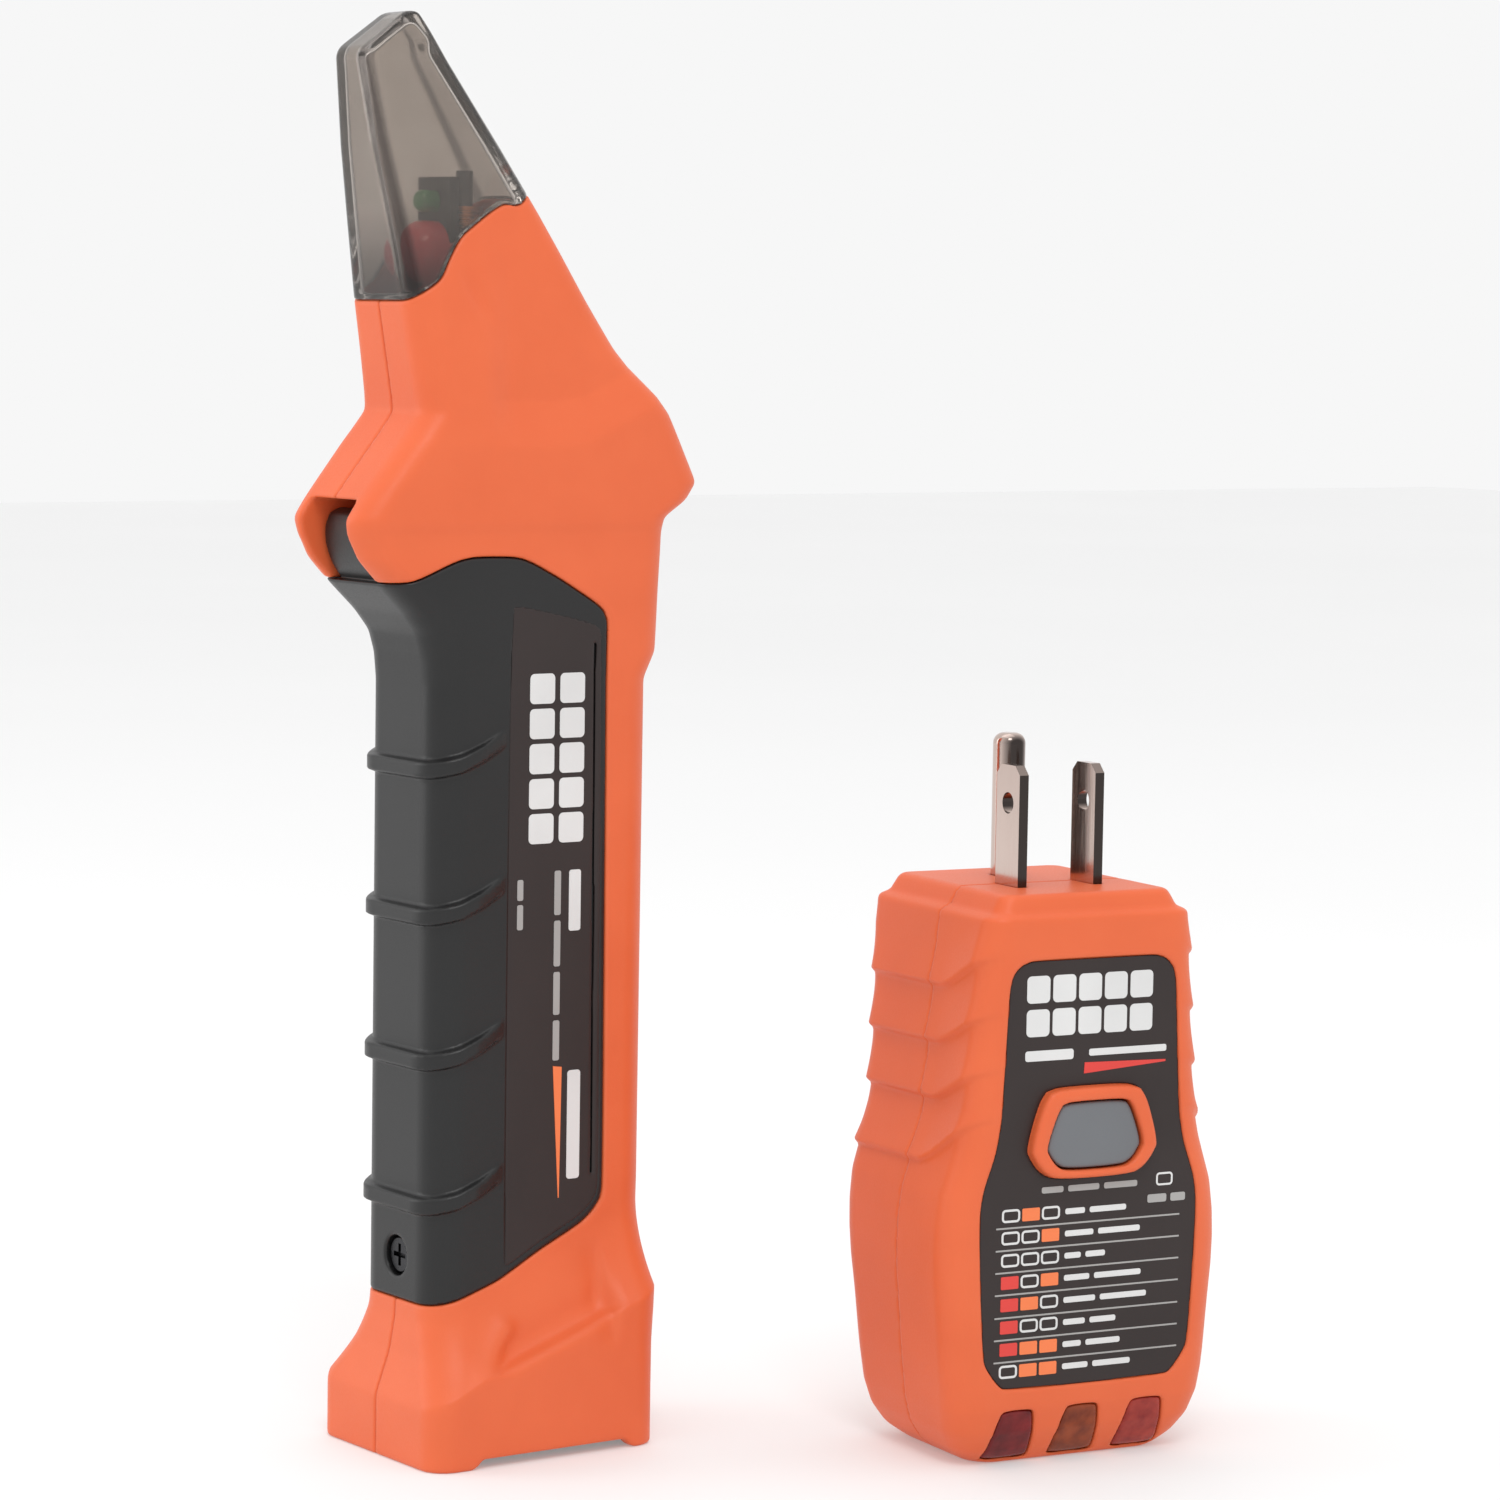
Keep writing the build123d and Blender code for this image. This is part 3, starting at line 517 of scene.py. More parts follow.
def half_thickness(x, z):
    # the crease under the taper climbs towards the button side
    lean = np.clip(0.19 * (x + 6.0), 0.0, 4.3) * step(z, 168.0, 152.0) * step(z, 136.0, 143.0)
    h = HH(z - lean)
    # the wide face turns slightly towards the hook
    h = h - 0.03 * np.clip(-6.0 - x, 0.0, 24.0) * step(z, 126.0, 131.0) * step(z, 176.0, 150.0)
    # facet above the crease leans back, then recovers under the nose
    q = z - 144.4 - np.interp(x, [3.3, 8.4, 16.9, 22.0], [0.0, 0.6, 4.6, 7.6])
    h = h - 1.3 * np.clip(q / 6.5, 0.0, 1.0) * np.clip((33.0 - q) / 26.0, 0.0, 1.0) * step(x, -9.0, -3.5)
    # shallow scoop under the border of the nose
    h = h - 0.55 * np.exp(-(((x + 9.5) * 0.89 + (z - 165.5) * 0.46) / 1.3) ** 2
                          - (((x + 9.5) * 0.46 - (z - 165.5) * 0.89) / 3.8) ** 2)
    # foot: a cove that starts higher on the button side, down to a full skirt
    zc = 9.3 + (np.clip(x, -19.0, 20.0) + 19.0) * (13.7 / 39.0)
    u = (z - zc) / 12.5
    s = np.where(u < 0, 1.0, np.clip(1.0 - u, 0.0, 1.0) ** 1.9)
    g = u * 12.5
    valley = 2.0 * np.exp(-(np.where(g > 0.8, (g - 0.8) / 3.2, (g - 0.8) / 1.0)) ** 2) * step(x, -12.0, -5.0) * step(x, 14.0, 9.5)
    fold = 0.55 * np.exp(-(np.where(x < 11.0, (x - 11.0) / 2.4, (x - 11.0) / 0.9)) ** 2) * step(z, 31.0, 26.0) * step(z, 14.0, 19.0)
    # soft rib down the flute, beside the hook-side corner
    t = np.clip(((x + 5.4) * -5.8 + (z - 19.1) * -8.7) / 109.3, 0.0, 1.0)
    rib = 0.9 * np.exp(-(((x + 5.4 + 5.8 * t) ** 2 + (z - 19.1 + 8.7 * t) ** 2) / 2.9))
    return h + np.minimum(5.8 * s - valley - fold + rib, 5.8)


def outer_r(x, y, z, ribs=False):
    zz = np.clip(z, -2, 210)
    d = plan_d(x, y, XB(zz), XF(zz), -half_thickness(x, zz), half_thickness(x, zz), RR(zz))
    d = d / np.sqrt(1.0 + 0.35 * step(zz, 118, 124) * step(zz, 212, 150))
    if ribs:
        a = 1.15 * np.clip((-4.7 - x) / 5.0, 0.0, 1.0) ** 0.75
        lift = np.interp(x, [-16.0, -12.5, -8.5, -4.8], [0.0, 0.9, 2.5, 4.5])
        bump = 0.0
        for z0 in (99.0, 78.2, 57.5, 36.8):
            q = 1.0 - np.abs(z - z0 - lift) / 1.55
            bump = bump + step(q, 0.0, 0.42)
        d = d - a * bump
    d = smax(d, (z - 199.3 - 0.7375 * (x + 25.6)) / 1.2426, 1.2)
    d = smax(d, (x + z - 189.3) / 1.4142, 1.2)
    d = smax(d, z - 205.0, 0.7)
    return smax(d, -z, 0.7)


def inner_r(x, y, z):
    zz = np.clip(z, 120, 210)
    d = plan_d(x, y, IB(zz), IF_(zz), -IH(zz), IH(zz), IR(zz))
    d = smax(d, (z - 199.3 - 0.7375 * (x + 25.6)) / 1.2426 + 1.6, 0.6)
    d = smax(d, (x + z - 189.3) / 1.4142 + 1.6, 0.6)
    return smax(smax(d, 132.5 - z, 0.8), z - 203.4, 0.6)


SCREWS_RX = [(15.0, 28.0), (-19.6, 140.4)]
BTN_Z, BTN_H, BTN_W = 124.0, 12.0, 9.0


def shell_r(x, y, z):
    d = outer_r(x, y, z)
    d = smax(d, 0.06 - nose_b(x, z), 0.35)
    d = smax(d, -inner_r(x, y, z), 0.4)
    d = smax(d, 0.12 - cover_b(x, z), 0.36)
    d = smax(d, -box_d(x, y, z, -34, -19.0, -6.2, 6.2, 124.0, 137.0, 0.8), 0.6)
    d = smax(d, -box_d(x, y, z, 14.4, 19.2, -7.4, 7.4, 40.0, 134.0, 0.3), 0.2)
    d = smin(d, box_d(x, y, z, -11.4, 13.6, -8.6, 8.6, 43.6, 45.4, 0.2), 0.2)
    d = smin(d, box_d(x, y, z, -11.0, 13.6, -8.6, 8.6, 103.2, 104.8, 0.2), 0.2)
    d = smin(d, box_d(x, y, z, -8.5, -2.0, -4.0, 4.0, 22.0, 33.0, 0.3), 0.3)
    for s in (-1, 1):
        d = np.maximum(d, -rod_d(x, y, z, 6.0, s * 2.4, 1.1, 102.0, 134.0))
    d = smax(d, -box_d(x, y, z, -16.8, 17.0, -13.7, 13.7, -3.0, 6.0, 1.0), 0.5)
    d = smax(d, -box_d(x, y, z, -10.7, 12.2, -8.9, 8.9, 4.0, 22.6, 0.3), 0.3)
    c = smax((-12.2 + z - x) / 1.414, (x - 14.6 + z) / 1.414, 0.4)
    c = smax(smax(c, z - 1.35, 0.4), 12.0 - np.abs(y), 0.3)
    d = smax(d, -c, 0.6)
    b = plan_d(z, y, BTN_Z - BTN_H / 2 - 0.3, BTN_Z + BTN_H / 2 + 0.3, -BTN_W / 2 - 0.3, BTN_W / 2 + 0.3, 2.8)
    d = smax(d, -smax(b, 19.5 - x, 0.1), 0.35)
    b = plan_d(z, y, BTN_Z - BTN_H / 2 - 1.3, BTN_Z + BTN_H / 2 + 1.3, -BTN_W / 2 - 1.3, BTN_W / 2 + 1.3, 3.2)
    d = smax(d, -smax(b, np.abs(x - 19.9) - 0.9, 0.1), 0.1)
    d = np.maximum(d, -rod_d(y, z, x, 0.0, 28.6, 1.9, -9.0, -4.0))
    for k in range(3):
        d = smax(d, -rod_d(x, z, y, 8.0, 140.0 + 3.2 * (k - 1), 0.8, 5.0, 14.0), 0.25)
    for sx, sz in SCREWS_RX:
        d = np.maximum(d, -rod_d(x, z, y, sx, sz, 1.6, 2.0, 20.0))
        d = np.maximum(d, -rod_d(x, z, y, sx, sz, 1.25, -5.0, 2.5))
        d = smax(d, -rod_d(x, z, y, sx, sz, 2.9, 7.0, 20.0), 0.35)
    return d


v, q = net(lambda x, y, z: smax(shell_r(x, y, z), y + 0.035, 0.34), (-31.2, -18.0, -0.9), (30.6, 0.7, 183.5), 0.4)
piece("receiver_shell_right_skin", v, q, "receiver", "receiver", M["orange_abs"], ["receiver_shell_right"])
v, q = net(lambda x, y, z: smax(shell_r(x, y, z), 0.035 - y, 0.34), (-31.2, -0.7, -0.9), (30.6, 18.0, 183.5), 0.4)
piece("receiver_shell_left_skin", v, q, "receiver", "receiver", M["orange_abs"], ["receiver_shell_left"])


def nose(x, y, z):
    d = smax(outer_r(x, y, z), nose_b(x, z) + 0.06, 0.35)
    return smax(d, -inner_r(x, y, z), 0.35)


v, q = net(nose, (-28.4, -10.6, 162.6), (11.6, 10.6, 206.2), 0.32)
piece("nose_lens_skin", v, q, "receiver", "receiver", M["smoke_clear"], ["nose_lens"])

INNER_LIM = outline([(-14.4, 30.0), (15, 30.0), (15, 140), (-10, 140), (-14.4, 119.0)])
HOOK_LIM = outline([(-14.4, 119.0), (-18.6, 124.6), (-19.4, 125.1), (-19.4, 130), (20, 130), (20, 119)])


def cover(x, y, z):
    d = smax(outer_r(x, y, z, ribs=True), cover_b(x, z), 0.5)
    d = smin(d, smax(tongue_b(x, z), np.abs(y) - 5.7, 0.9), 0.5)
    c = plan_d(x, y, -14.4, 26.0, -9.1, 9.1, 3.7)
    a = smax(smax(c, 33.0 - z, 0.4), INNER_LIM(x, z), 0.4)
    b = smax(HOOK_LIM(x, z), np.abs(y) - 7.5, 0.4)
    e = box_d(x, y, z, 5.0, 24, -9.1, 9.1, 33.0, 140.0, 0.3)
    g = box_d(x, y, z, -9.0, 24, -9.1, 9.1, 18.0, 34.0, 0.3)
    d = smax(d, -np.minimum(np.minimum(a, b), np.minimum(e, g)), 0.3)
    d = smax(d, -rod_d(y, z, x, 0.0, 28.6, 2.9, -20.0, -13.6), 0.35)
    d = np.maximum(d, -rod_d(y, z, x, 0.0, 28.6, 1.6, -15.0, -6.0))
    # pockets of the printed panels
    return smax(d, -smax(panel_b(x, z) + 0.25, 10.02 - np.abs(y), 0.05), 0.05)


v, q = net(cover, (-30.2, -12.4, 20.6), (13.6, 12.4, 136.6), 0.36)
piece("battery_cover_skin", v, q, "receiver", "battery_cover", M["black_grip"], ["battery_cover"])


def panel(x, y, z):
    d = smax(panel_b(x, z), np.abs(outer_r(x, y, z) + 0.16) - 0.185, 0.05)
    # narrow groove beside the button-side border
    g = np.sqrt((x - 10.35 - 0.006 * (79.0 - z)) ** 2 * 1.0 + (np.abs(y) - 10.50) ** 2) - 0.26
    return smax(d, -smax(g, np.abs(z - 78.0) - 38.5, 0.3), 0.12)


for s, nm in ((-1, "right"), (1, "left")):
    v, q = net(lambda x, y, z: panel(x, y, z), (-5.4, -11.2 if s < 0 else 9.2, 27.2), (12.6, -9.2 if s < 0 else 11.2, 122.6), 0.3)
    piece("grip_panel_%s_film" % nm, v, q, "receiver", "battery_cover", M["panel_film"], ["grip_panel_" + nm])


# ---------------------------------------------------------------- flat print
class Ink:
    """Thin raised print: closed prisms that stand a few hundredths of a millimetre proud of a flat face."""

    def __init__(self):
        self.v, self.f = [], []

    def poly(self, pts, y_face, side=-1, thick=0.05, sink=0.04):
        n, b = len(pts), len(self.v)
        area = sum(pts[i][0] * pts[(i + 1) % n][1] - pts[(i + 1) % n][0] * pts[i][1] for i in range(n))
        if area < 0:
            pts = pts[::-1]
        y0, y1 = y_face - side * sink, y_face + side * thick
        for yy in (y0, y1):
            self.v += [(x, yy, z) for x, z in pts]
        low, high = list(range(b, b + n)), list(range(b + n, b + 2 * n))
        if side < 0:      # the outer face looks along -Y
            self.f += [low[::-1], high]
            self.f += [[low[i], low[(i + 1) % n], high[(i + 1) % n], high[i]] for i in range(n)]
        else:
            self.f += [low, high[::-1]]
            self.f += [[low[(i + 1) % n], low[i], high[i], high[(i + 1) % n]] for i in range(n)]

    def bar(self, x0, x1, z0, z1, y_face, side=-1, r=0.25, **k):
        pts = []
        r = min(r, abs(x1 - x0) / 2 * 0.98, abs(z1 - z0) / 2 * 0.98)
        for cx, cz, a0 in ((x1 - r, z1 - r, 0), (x0 + r, z1 - r, 90), (x0 + r, z0 + r, 180), (x1 - r, z0 + r, 270)):
            for t in range(0, 91, 18):
                a = math.radians(a0 + t)
                pts.append((cx + r * math.cos(a), cz + r * math.sin(a)))
        self.poly(pts, y_face, side, **k)

    def frame(self, x0, x1, z0, z1, w, y_face, side=-1, r=0.7, **k):
        """Rounded outline box, as one closed ring."""
        rings = []
        for g in (0.0, w):
            pts = []
            rr = max(r - g, 0.05)
            for cx, cz, a0 in ((x1 - g - rr, z1 - g - rr, 0), (x0 + g + rr, z1 - g - rr, 90),
                               (x0 + g + rr, z0 + g + rr, 180), (x1 - g - rr, z0 + g + rr, 270)):
                for t in range(0, 91, 18):
                    a = math.radians(a0 + t)
                    pts.append((cx + rr * math.cos(a), cz + rr * math.sin(a)))
            rings.append(pts)
        thick, sink = k.get("thick", 0.05), k.get("sink", 0.04)
        b, n = len(self.v), len(rings[0])
        for yy in (y_face - side * sink, y_face + side * thick):
            for ring in rings:
                self.v += [(x, yy, z) for x, z in ring]
        lo_o, lo_i, hi_o, hi_i = ([b + m * n + i for i in range(n)] for m in range(4))
        faces = []
        for i in range(n):
            j = (i + 1) % n
            faces += [[hi_o[i], hi_o[j], hi_i[j], hi_i[i]], [lo_o[j], lo_o[i], lo_i[i], lo_i[j]],
                      [lo_o[i], lo_o[j], hi_o[j], hi_o[i]], [lo_i[j], lo_i[i], hi_i[i], hi_i[j]]]
        if side > 0:
            faces = [f[::-1] for f in faces]
        self.f += faces

    def make(self, name, unit, body, slot, mat):
        ob = piece(name, self.v, self.f, unit, body, mat, smooth=False)
        import bmesh
        bm = bmesh.new()
        bm.from_mesh(ob.data)
        bmesh.ops.recalc_face_normals(bm, faces=bm.faces)
        bm.to_mesh(ob.data)
        bm.free()
        return ob


# generic graphics of the grip panels: plain bars and one tapering wedge
for s, nm in ((-1, "right"), (1, "left")):
    face = s * 10.44
    w, o, g = Ink(), Ink(), Ink()
    for k in range(5):      # two rows of plain blocks
        z1 = 112.3 - 5.0 * k
        w.bar(4.2, 8.4, z1 - 4.3, z1, face, s, r=0.7)
        w.bar(-0.9, 3.3, z1 - 4.3, z1, face, s, r=0.7)
    w.bar(6.1, 8.1, 75.2, 84.0, face, s, r=0.4)
    for a, b in ((77.6, 84.0), (70.2, 76.8), (63.2, 69.4), (56.6, 62.4)):
        g.bar(3.6, 4.7, a, b, face, s, r=0.3)
    for a, b in ((80.0, 83.0), (75.8, 79.4)):
        g.bar(-2.7, -1.7, a, b, face, s, r=0.3)
    w.bar(6.2, 8.4, 39.2, 55.0, face, s, r=0.5)
    o.poly([(3.7, 55.8), (5.2, 55.6), (4.95, 36.6), (4.8, 36.6)], face, s)
    w.make("grip_print_white_" + nm, "receiver", "battery_cover", "panel_film", M["ink_white"])
    o.make("grip_print_orange_" + nm, "receiver", "battery_cover", "panel_film", M["ink_orange"])
    g.make("grip_print_grey_" + nm, "receiver", "battery_cover", "panel_film", M["ink_grey"])

# ============================================================= transmitter
TX = [(0.0, 15.5, 8.6, 12.5, 4.0), (2.2, 18.9, 10.2, 15.6, 4.4), (5.0, 20.4, 11.8, 17.0, 4.8),
      (8.5, 21.3, 13.0, 17.9, 5.0), (12.0, 21.7, 13.4, 18.2, 5.0), (21.7, 22.5, 13.4, 18.8, 5.0),
      (30.5, 23.1, 13.4, 19.5, 5.0), (38.0, 22.8, 13.4, 20.2, 5.0), (46.0, 20.4, 13.4, 20.6, 4.8),
      (51.4, 19.2, 13.4, 20.9, 4.6), (66.0, 18.1, 13.4, 21.9, 4.4), (75.0, 17.5, 13.4, 22.8, 4.0),
      (78.6, 17.0, 13.25, 22.6, 3.6), (79.2, 16.7, 13.1, 22.4, 3.2), (79.7, 15.3, 12.2, 21.5, 2.6),
      (82.3, 13.8, 11.4, 20.5, 2.0)]
TW = [(-3.0, 12.0), (0.0, 15.5), (2.2, 18.5), (5.0, 20.3), (8.5, 21.2), (14.4, 21.9), (21.7, 22.5), (27.0, 23.0),
      (31.0, 23.15), (35.0, 23.0), (39.4, 22.4), (43.0, 21.2), (46.1, 20.2), (51.4, 19.0), (58.7, 18.5), (66.0, 18.0),
      (75.0, 17.4), (78.6, 17.0), (79.2, 16.7), (79.7, 15.3), (82.3, 13.8), (84.0, 12.9)]
TTW = table(TW, 1, 0.5)
TTW_TOP = table(TW, 1, 0.22)
TF, TB, TR = table(TX, 2, 0.22), table(TX, 3, 0.22), table(TX, 4, 0.5)

LABEL_XZ = [(-10.4, 73.1), (10.6, 73.1), (13.0, 72.0), (13.9, 69.6), (14.4, 58.9), (14.9, 50.1),
            (15.7, 45.7), (17.6, 40.6), (18.1, 37.6), (18.1, 34.0), (17.8, 26.5), (17.1, 15.6),
            (14.0, 11.6), (-14.0, 11.6), (-17.1, 15.6), (-17.8, 26.5), (-18.1, 34.0), (-18.1, 37.6),
            (-17.6, 40.6), (-15.7, 45.7), (-14.9, 50.1), (-14.4, 58.9), (-13.9, 69.6), (-13.0, 72.0)]
BEZEL_XZ = [(-6.6, 54.7), (6.6, 54.7), (8.4, 53.4), (10.5, 46.6), (10.3, 44.8), (7.2, 41.6),
            (-7.2, 41.6), (-10.3, 44.8), (-10.5, 46.6), (-8.4, 53.4)]
BUTTON_XZ = [(-4.9, 52.5), (4.9, 52.5), (5.9, 51.7), (7.8, 46.6), (7.6, 45.4), (5.5, 43.1),
             (-5.5, 43.1), (-7.6, 45.4), (-7.8, 46.6), (-5.9, 51.7)]
LENS_X = (-11.0, -0.2, 10.6)
label_b = outline(LABEL_XZ, 0.8, 3)
bezel_b = outline(BEZEL_XZ, 1.2, 3, 0.15)
button_b = outline(BUTTON_XZ, 0.9, 3, 0.15)
lens_b = outline([(-2.7, 8.4), (2.7, 8.4), (3.9, 0.7), (-3.9, 0.7)], 0.6, 3, 0.1)
RIDGES = ((69.0, 5.6), (60.9, 5.4), (52.9, 5.4), (44.0, 7.6))


def outer_t(x, y, z):
    zz = np.clip(z, -1.5, 83.4)
    w = np.where(zz > 70, TTW_TOP(zz), TTW(zz))
    d = plan_d(x, y, -w, w, -TF(zz), TB(zz), TR(zz))
    # stepped side grips that sweep up to the front
    ax = np.abs(x)
    bump = 0.0
    for zr, rise in RIDGES:
        line = zr + rise * step(y, -1.0, -16.5) ** 0.85 - 0.02 * y
        p = z - line
        bump = bump + np.where(p >= 0, np.clip(1.0 - p / 6.2, 0.0, 1.0) ** 1.5, step(p, -1.1, 0.0))
    weight = step(ax, 13.6, 18.4) * (0.35 + 0.65 * step(y, -13.2, -9.0)) * step(y, 22.6, 18.0)
    d = d - 0.85 * np.minimum(bump, 1.0) * weight
    d = smax(d, z - 82.3, 0.9)
    return smax(d, -z, 1.0)


def hollow_t(x, y, z):
    zz = np.clip(z, 2.0, 80.0)
    w = TTW(zz) - 2.2
    d = plan_d(x, y, -w, w, -np.minimum(TF(zz), 12.6) + 2.2, TB(zz) - 2.2, np.maximum(TR(zz) - 2.2, 0.8))
    return smax(smax(d, 2.8 - z, 0.6), z - 78.6, 0.6)


SCREWS_TX = [(-13.0, 12.0), (13.0, 12.0), (-11.5, 63.6), (11.5, 63.6)]


def lens_all(x, z):
    d = lens_b(x - LENS_X[0], z)
    for c in LENS_X[1:]:
        d = np.minimum(d, lens_b(x - c, z))
    return d


def shell_t(x, y, z):
    o = outer_t(x, y, z)
    d = smax(o, -hollow_t(x, y, z), 0.3)
    for sx, sz in SCREWS_TX:
        d = smin(d, smax(rod_d(x, z, y, sx, sz, 3.4, -11.0, 26.0), o + 0.7, 0.2), 0.3)
    d = smax(d, -smax(label_b(x, z) - 0.06, y + 12.75, 0.1), 0.35)
    d = smin(d, smax(bezel_b(x, z), np.abs(y + 12.6) - 2.25, 1.0), 0.35)
    d = smax(d, -smax(button_b(x, z) - 0.32, y + 9.0, 0.1), 0.5)
    for s in (-1, 1):
        d = smax(d, -box_d(x, y, z, s * 6.35 - 0.8, s * 6.35 + 0.8, -3.22, 3.22, 76.0, 90.0), 0.35)
    d = smax(d, -rod_d(x, y, z, 0.0, 11.86, 2.42, 78.0, 90.0), 0.35)
    d = smax(d, -smax(lens_all(x, z) - 0.10, y + 5.4, 0.1), 0.3)
    for sx, sz in SCREWS_TX:
        d = np.maximum(d, -rod_d(x, z, y, sx, sz, 1.25, -6.0, 6.0))
        d = np.maximum(d, -rod_d(x, z, y, sx, sz, 1.6, 5.0, 14.0))
        d = smax(d, -rod_d(x, z, y, sx, sz, 2.9, 14.0, 30.0), 0.35)
    return d


v, q = net(lambda x, y, z: smax(shell_t(x, y, z), y - 2.0, 0.02), (-25.4, -15.8, -0.9), (25.4, 2.7, 83.4), 0.38)
piece("transmitter_front_skin", v, q, "transmitter", "transmitter", M["orange_abs"], ["transmitter_front_shell"])
v, q = net(lambda x, y, z: smax(shell_t(x, y, z), 2.0 - y, 0.02), (-25.4, 1.3, -0.9), (25.4, 25.0, 83.4), 0.4)
piece("transmitter_back_skin", v, q, "transmitter", "transmitter", M["orange_abs"], ["transmitter_back_shell"])

LABEL_Y = -13.08
v, q = net(lambda x, y, z: smax(smax(label_b(x, z), np.abs(y + 12.91) - 0.17, 0.12), 0.08 - bezel_b(x, z), 0.12),
           (-19.2, -13.7, 10.6), (19.2, -12.1, 74.2), 0.34)
piece("transmitter_label_film", v, q, "transmitter", "transmitter", M["panel_film"], ["transmitter_label"])

for nm, cx, mat, slot in (("left", LENS_X[0], "lens_red", "lens_red"), ("middle", LENS_X[1], "lens_amber", "lens_amber"),
                          ("right", LENS_X[2], "lens_rose", "lens_red")):
    def lens(x, y, z, cx=cx):
        d = smax(outer_t(x, y, z) + 0.10, lens_b(x - cx, z), 0.7)
        return smax(smax(d, y + 5.6, 0.2), -(outer_t(x, y, z) + 2.4), 0.2)
    v, q = net(lens, (cx - 4.6, -14.2, -0.3), (cx + 4.6, -5.0, 9.2), 0.2)
    piece("indicator_lens_%s_skin" % nm, v, q, "transmitter", "transmitter", M[mat], ["indicator_lens_" + nm])


def button(x, y, z):
    d = smax(button_b(x, z), np.abs(y + 12.2) - 2.2, 0.55)
    # the cap is very slightly crowned
    d = smax(d, -y - 14.38 + 0.0022 * (x * x + (z - 47.8) ** 2), 0.5)
    return smin(d, smax(button_b(x, z) - 0.85, np.abs(y + 9.62) - 0.4, 0.1), 0.1)


v, q = net(button, (-9.4, -15.2, 41.4), (9.4, -8.7, 54.4), 0.22)
piece("test_button_cap", v, q, "transmitter", "test_button", M["grey_button"], ["test_button"])

# generic label print: rows of lamp codes with plain bars, a wedge, plain blocks
w, g, o, r = Ink(), Ink(), Ink(), Ink()
for zs in (35.0, 31.8, 28.6, 25.4, 22.1, 18.9, 15.7):
    g.bar(-15.4, 15.3, zs - 0.12, zs + 0.12, LABEL_Y, r=0.05)
CODES = ("OAO", "OOA", "OOO", "ROA", "RAO", "ROO", "RAA", "OAA")
BARS = (10.2, 12.6, 6.8, 12.9, 13.9, 8.8, 9.6, 11.4)
for i, (code, blen) in enumerate(zip(CODES, BARS)):
    zc = 36.75 - 3.21 * i
    for c, x0 in zip(code, (-13.0, -9.7, -6.4)):
        if c == "O":
            w.frame(x0 - 1.5, x0 + 1.5, zc - 0.95, zc + 0.95, 0.32, LABEL_Y, r=0.6)
        else:
            (o if c == "A" else r).bar(x0 - 1.45, x0 + 1.45, zc - 0.92, zc + 0.92, LABEL_Y, r=0.2)
    cut = -4.0 + blen * (0.36 + 0.05 * (i % 3))
    w.bar(-4.0, cut - 0.4, zc - 0.42, zc + 0.42, LABEL_Y, r=0.3)
    w.bar(cut + 0.4, -4.0 + blen, zc - 0.42, zc + 0.42, LABEL_Y, r=0.3)
for k in range(5):
    x0 = -11.1 + 4.3 * k
    w.bar(x0, x0 + 3.8, 67.0, 70.9, LABEL_Y, r=0.7)
    w.bar(x0, x0 + 3.8, 62.2, 66.1, LABEL_Y, r=0.7)
w.bar(-11.2, -3.2, 58.7, 60.2, LABEL_Y, r=0.4)
w.bar(-0.6, 12.4, 59.0, 60.0, LABEL_Y, r=0.3)
r.poly([(-1.3, 58.1), (-1.4, 56.5), (12.3, 57.5), (12.3, 57.8)], LABEL_Y)
for a, b in ((-8.0, -4.4), (-3.6, 1.6), (2.4, 8.0)):
    g.bar(a, b, 39.6, 40.5, LABEL_Y, r=0.3)
w.frame(11.2, 14.0, 39.4, 41.3, 0.28, LABEL_Y, r=0.55)
g.bar(9.8, 13.0, 37.0, 38.2, LABEL_Y, r=0.3)
g.bar(13.7, 16.2, 37.0, 38.2, LABEL_Y, r=0.3)
w.make("label_print_white", "transmitter", "transmitter", "panel_film", M["ink_white"])
g.make("label_print_grey", "transmitter", "transmitter", "panel_film", M["ink_grey"])
o.make("label_print_orange", "transmitter", "transmitter", "panel_film", M["ink_orange"])
r.make("label_print_red", "transmitter", "transmitter", "panel_film", M["ink_red"])

# ------------------------------------------------------- nodes kept from CAD
KEEP = {
    "receiver_case_screws": "dark_steel", "battery_cover_screw": "dark_steel", "battery_9v": "battery_jacket",
    "battery_terminals": "nickel", "battery_snap": "black_plastic", "battery_foam_pad": "foam", "battery_leads": "wire",
    "receiver_board": "board_green", "receiver_chips": "chip_black", "power_switch": "black_plastic",
    "power_button": "dark_button", "receiver_sounder": "chip_black", "nose_board": "chip_black",
    "nose_led_red": "led_red", "nose_led_green": "led_green", "pickup_coil": "copper", "pickup_core": "ferrite",
    "nose_diffuser": "diffuser", "dock_socket": "black_plastic", "test_button_switch": "black_plastic",
    "transmitter_board": "board_green", "transmitter_led_board": "board_green", "transmitter_leds": "diffuser",
    "transmitter_capacitor": "blue_part", "transmitter_resistor": "blue_part", "transmitter_coil": "copper",
    "blade_left": "nickel", "blade_right": "nickel", "ground_pin": "nickel", "prong_carrier": "black_plastic",
    "transmitter_case_screws": "dark_steel"}
ROUND = {"blade_left": 0.25, "blade_right": 0.25, "power_button": 0.4, "battery_cover_screw": 0.12,
         "transmitter_case_screws": 0.12, "receiver_case_screws": 0.12, "battery_9v": 0.5, "dock_socket": 0.3,
         "nose_board": 0.1, "nose_diffuser": 0.2}
for name, mat in KEEP.items():
    ob = nodes[name]
    if not ob.material_slots:
        ob.data.materials.append(M[mat])
    for s in ob.material_slots:
        s.link = "OBJECT"
        s.material = M[mat]
    if name in ROUND:
        b = ob.modifiers.new("edge", "BEVEL")
        b.width = ROUND[name] / 1000.0
        b.segments = 3
        b.limit_method = "ANGLE"
        b.angle_limit = math.radians(35)
        b.harden_normals = False

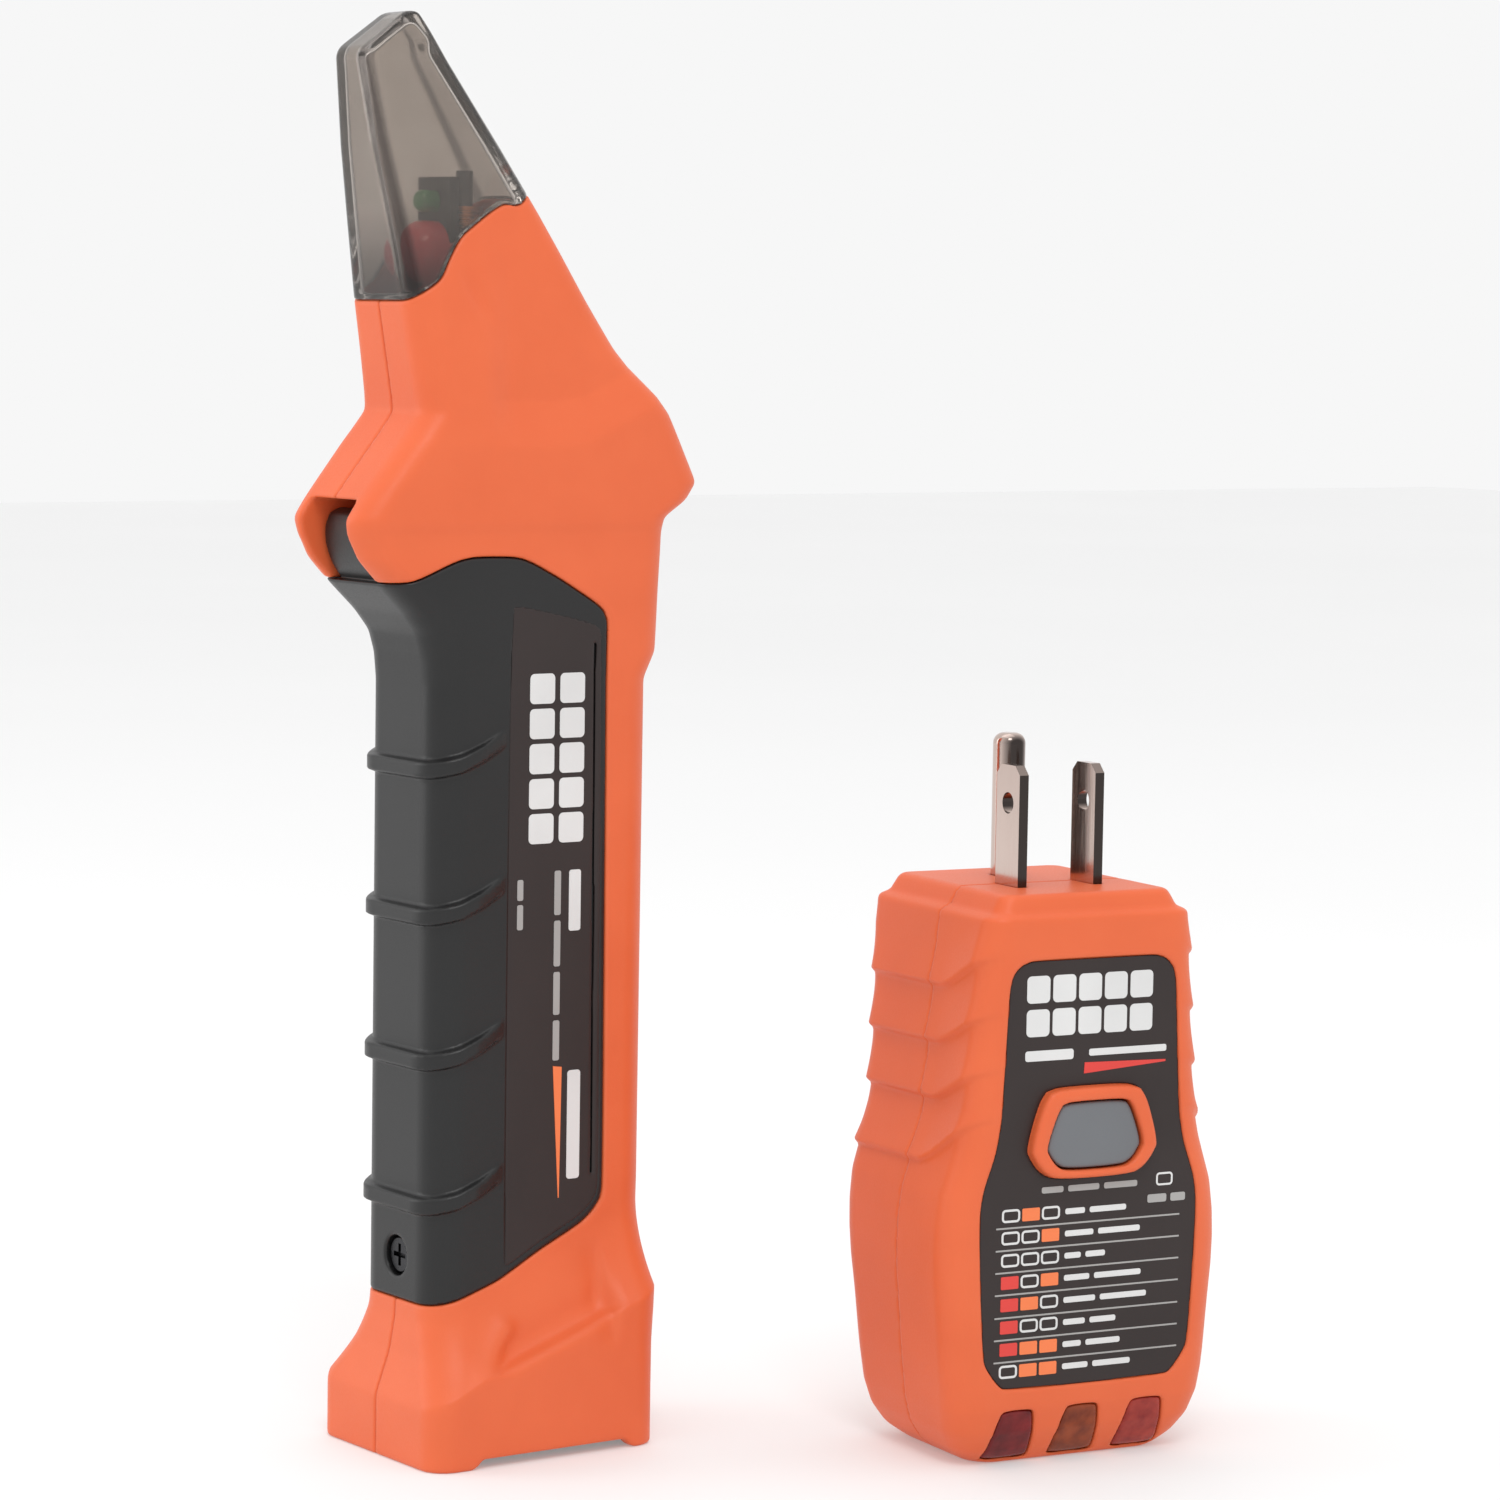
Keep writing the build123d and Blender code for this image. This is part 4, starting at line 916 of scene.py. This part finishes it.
# ------------------------------------------------------------ stage and view
me = bpy.data.meshes.new("floor")
fx, fy = 3.0, 3.0
me.from_pydata([(-fx, -fy, 0), (fx, -fy, 0), (fx, fy, 0), (-fx, fy, 0)], [], [(0, 1, 2, 3)])
floor = bpy.data.objects.new("floor", me)
bpy.context.scene.collection.objects.link(floor)
fm = material("floor_white", (0.66, 0.66, 0.66), 0.75, vary=0.01, patch_size=400.0,
              Emission_Color=(1.0, 1.0, 1.0, 1.0), Emission_Strength=0.24)
me.materials.append(fm)


def lamp(name, at, target, size, power, color=(1, 1, 1)):
    li = bpy.data.lights.new(name, "AREA")
    li.shape = "RECTANGLE"
    li.size, li.size_y = size
    li.energy = power
    li.color = color
    ob = bpy.data.objects.new(name, li)
    bpy.context.scene.collection.objects.link(ob)
    a, t = np.array(at, float), np.array(target, float)
    z = (a - t) / np.linalg.norm(a - t)
    x = np.cross((0, 0, 1), z)
    x = x / np.linalg.norm(x) if np.linalg.norm(x) > 1e-6 else np.array((1.0, 0, 0))
    y = np.cross(z, x)
    m = Matrix.Identity(4)
    for i in range(3):
        m[i][0], m[i][1], m[i][2], m[i][3] = x[i], y[i], z[i], a[i]
    ob.matrix_world = m
    ob.visible_camera = False
    return ob


lamp("left", (-0.80, 0.62, 0.42), (-0.03, 0, 0.10), (0.45, 0.8), 2.3)
lamp("key", (-0.42, -0.78, 1.20), (0, 0, 0.11), (0.5, 0.5), 4.9)
lamp("top", (0.0, 0.1, 1.1), (0, 0, 0.05), (0.9, 0.9), 1.6)
world = bpy.data.worlds.new("studio")
bpy.context.scene.world = world
world.use_nodes = True
world.node_tree.nodes["Background"].inputs[0].default_value = (1, 1, 1, 1)
world.node_tree.nodes["Background"].inputs[1].default_value = 0.93
bpy.context.scene.view_settings.view_transform = "Standard"

A, FPX, HV, RO = math.radians(-35.65775946747636), 4799.925826789326, 314.4364758961054, math.radians(0.8980443648908472)
E = math.atan((750 - HV) / FPX)
fw = np.array([-math.sin(A) * math.cos(E), math.cos(A) * math.cos(E), -math.sin(E)])
r0 = np.array([math.cos(A), math.sin(A), 0.0])
u0 = np.cross(r0, fw)
rt = r0 * math.cos(RO) + u0 * math.sin(RO)
up = -r0 * math.sin(RO) + u0 * math.cos(RO)
C = np.array([-370.90919, -579.83508, 163.54608])
cam = bpy.data.cameras.new("camera")
cam.sensor_fit = "HORIZONTAL"
cam.sensor_width = 36.0
cam.lens = FPX * 36.0 / 1500.0
cam.clip_start, cam.clip_end = 0.01, 20.0
co = bpy.data.objects.new("camera", cam)
bpy.context.scene.collection.objects.link(co)
m = Matrix.Identity(4)
at = ((C[0] - OX) / 1000, (C[1] - OY) / 1000, C[2] / 1000)
for i in range(3):
    m[i][0], m[i][1], m[i][2], m[i][3] = rt[i], up[i], -fw[i], at[i]
co.matrix_world = m
bpy.context.scene.camera = co

bpy.context.view_layer.update()
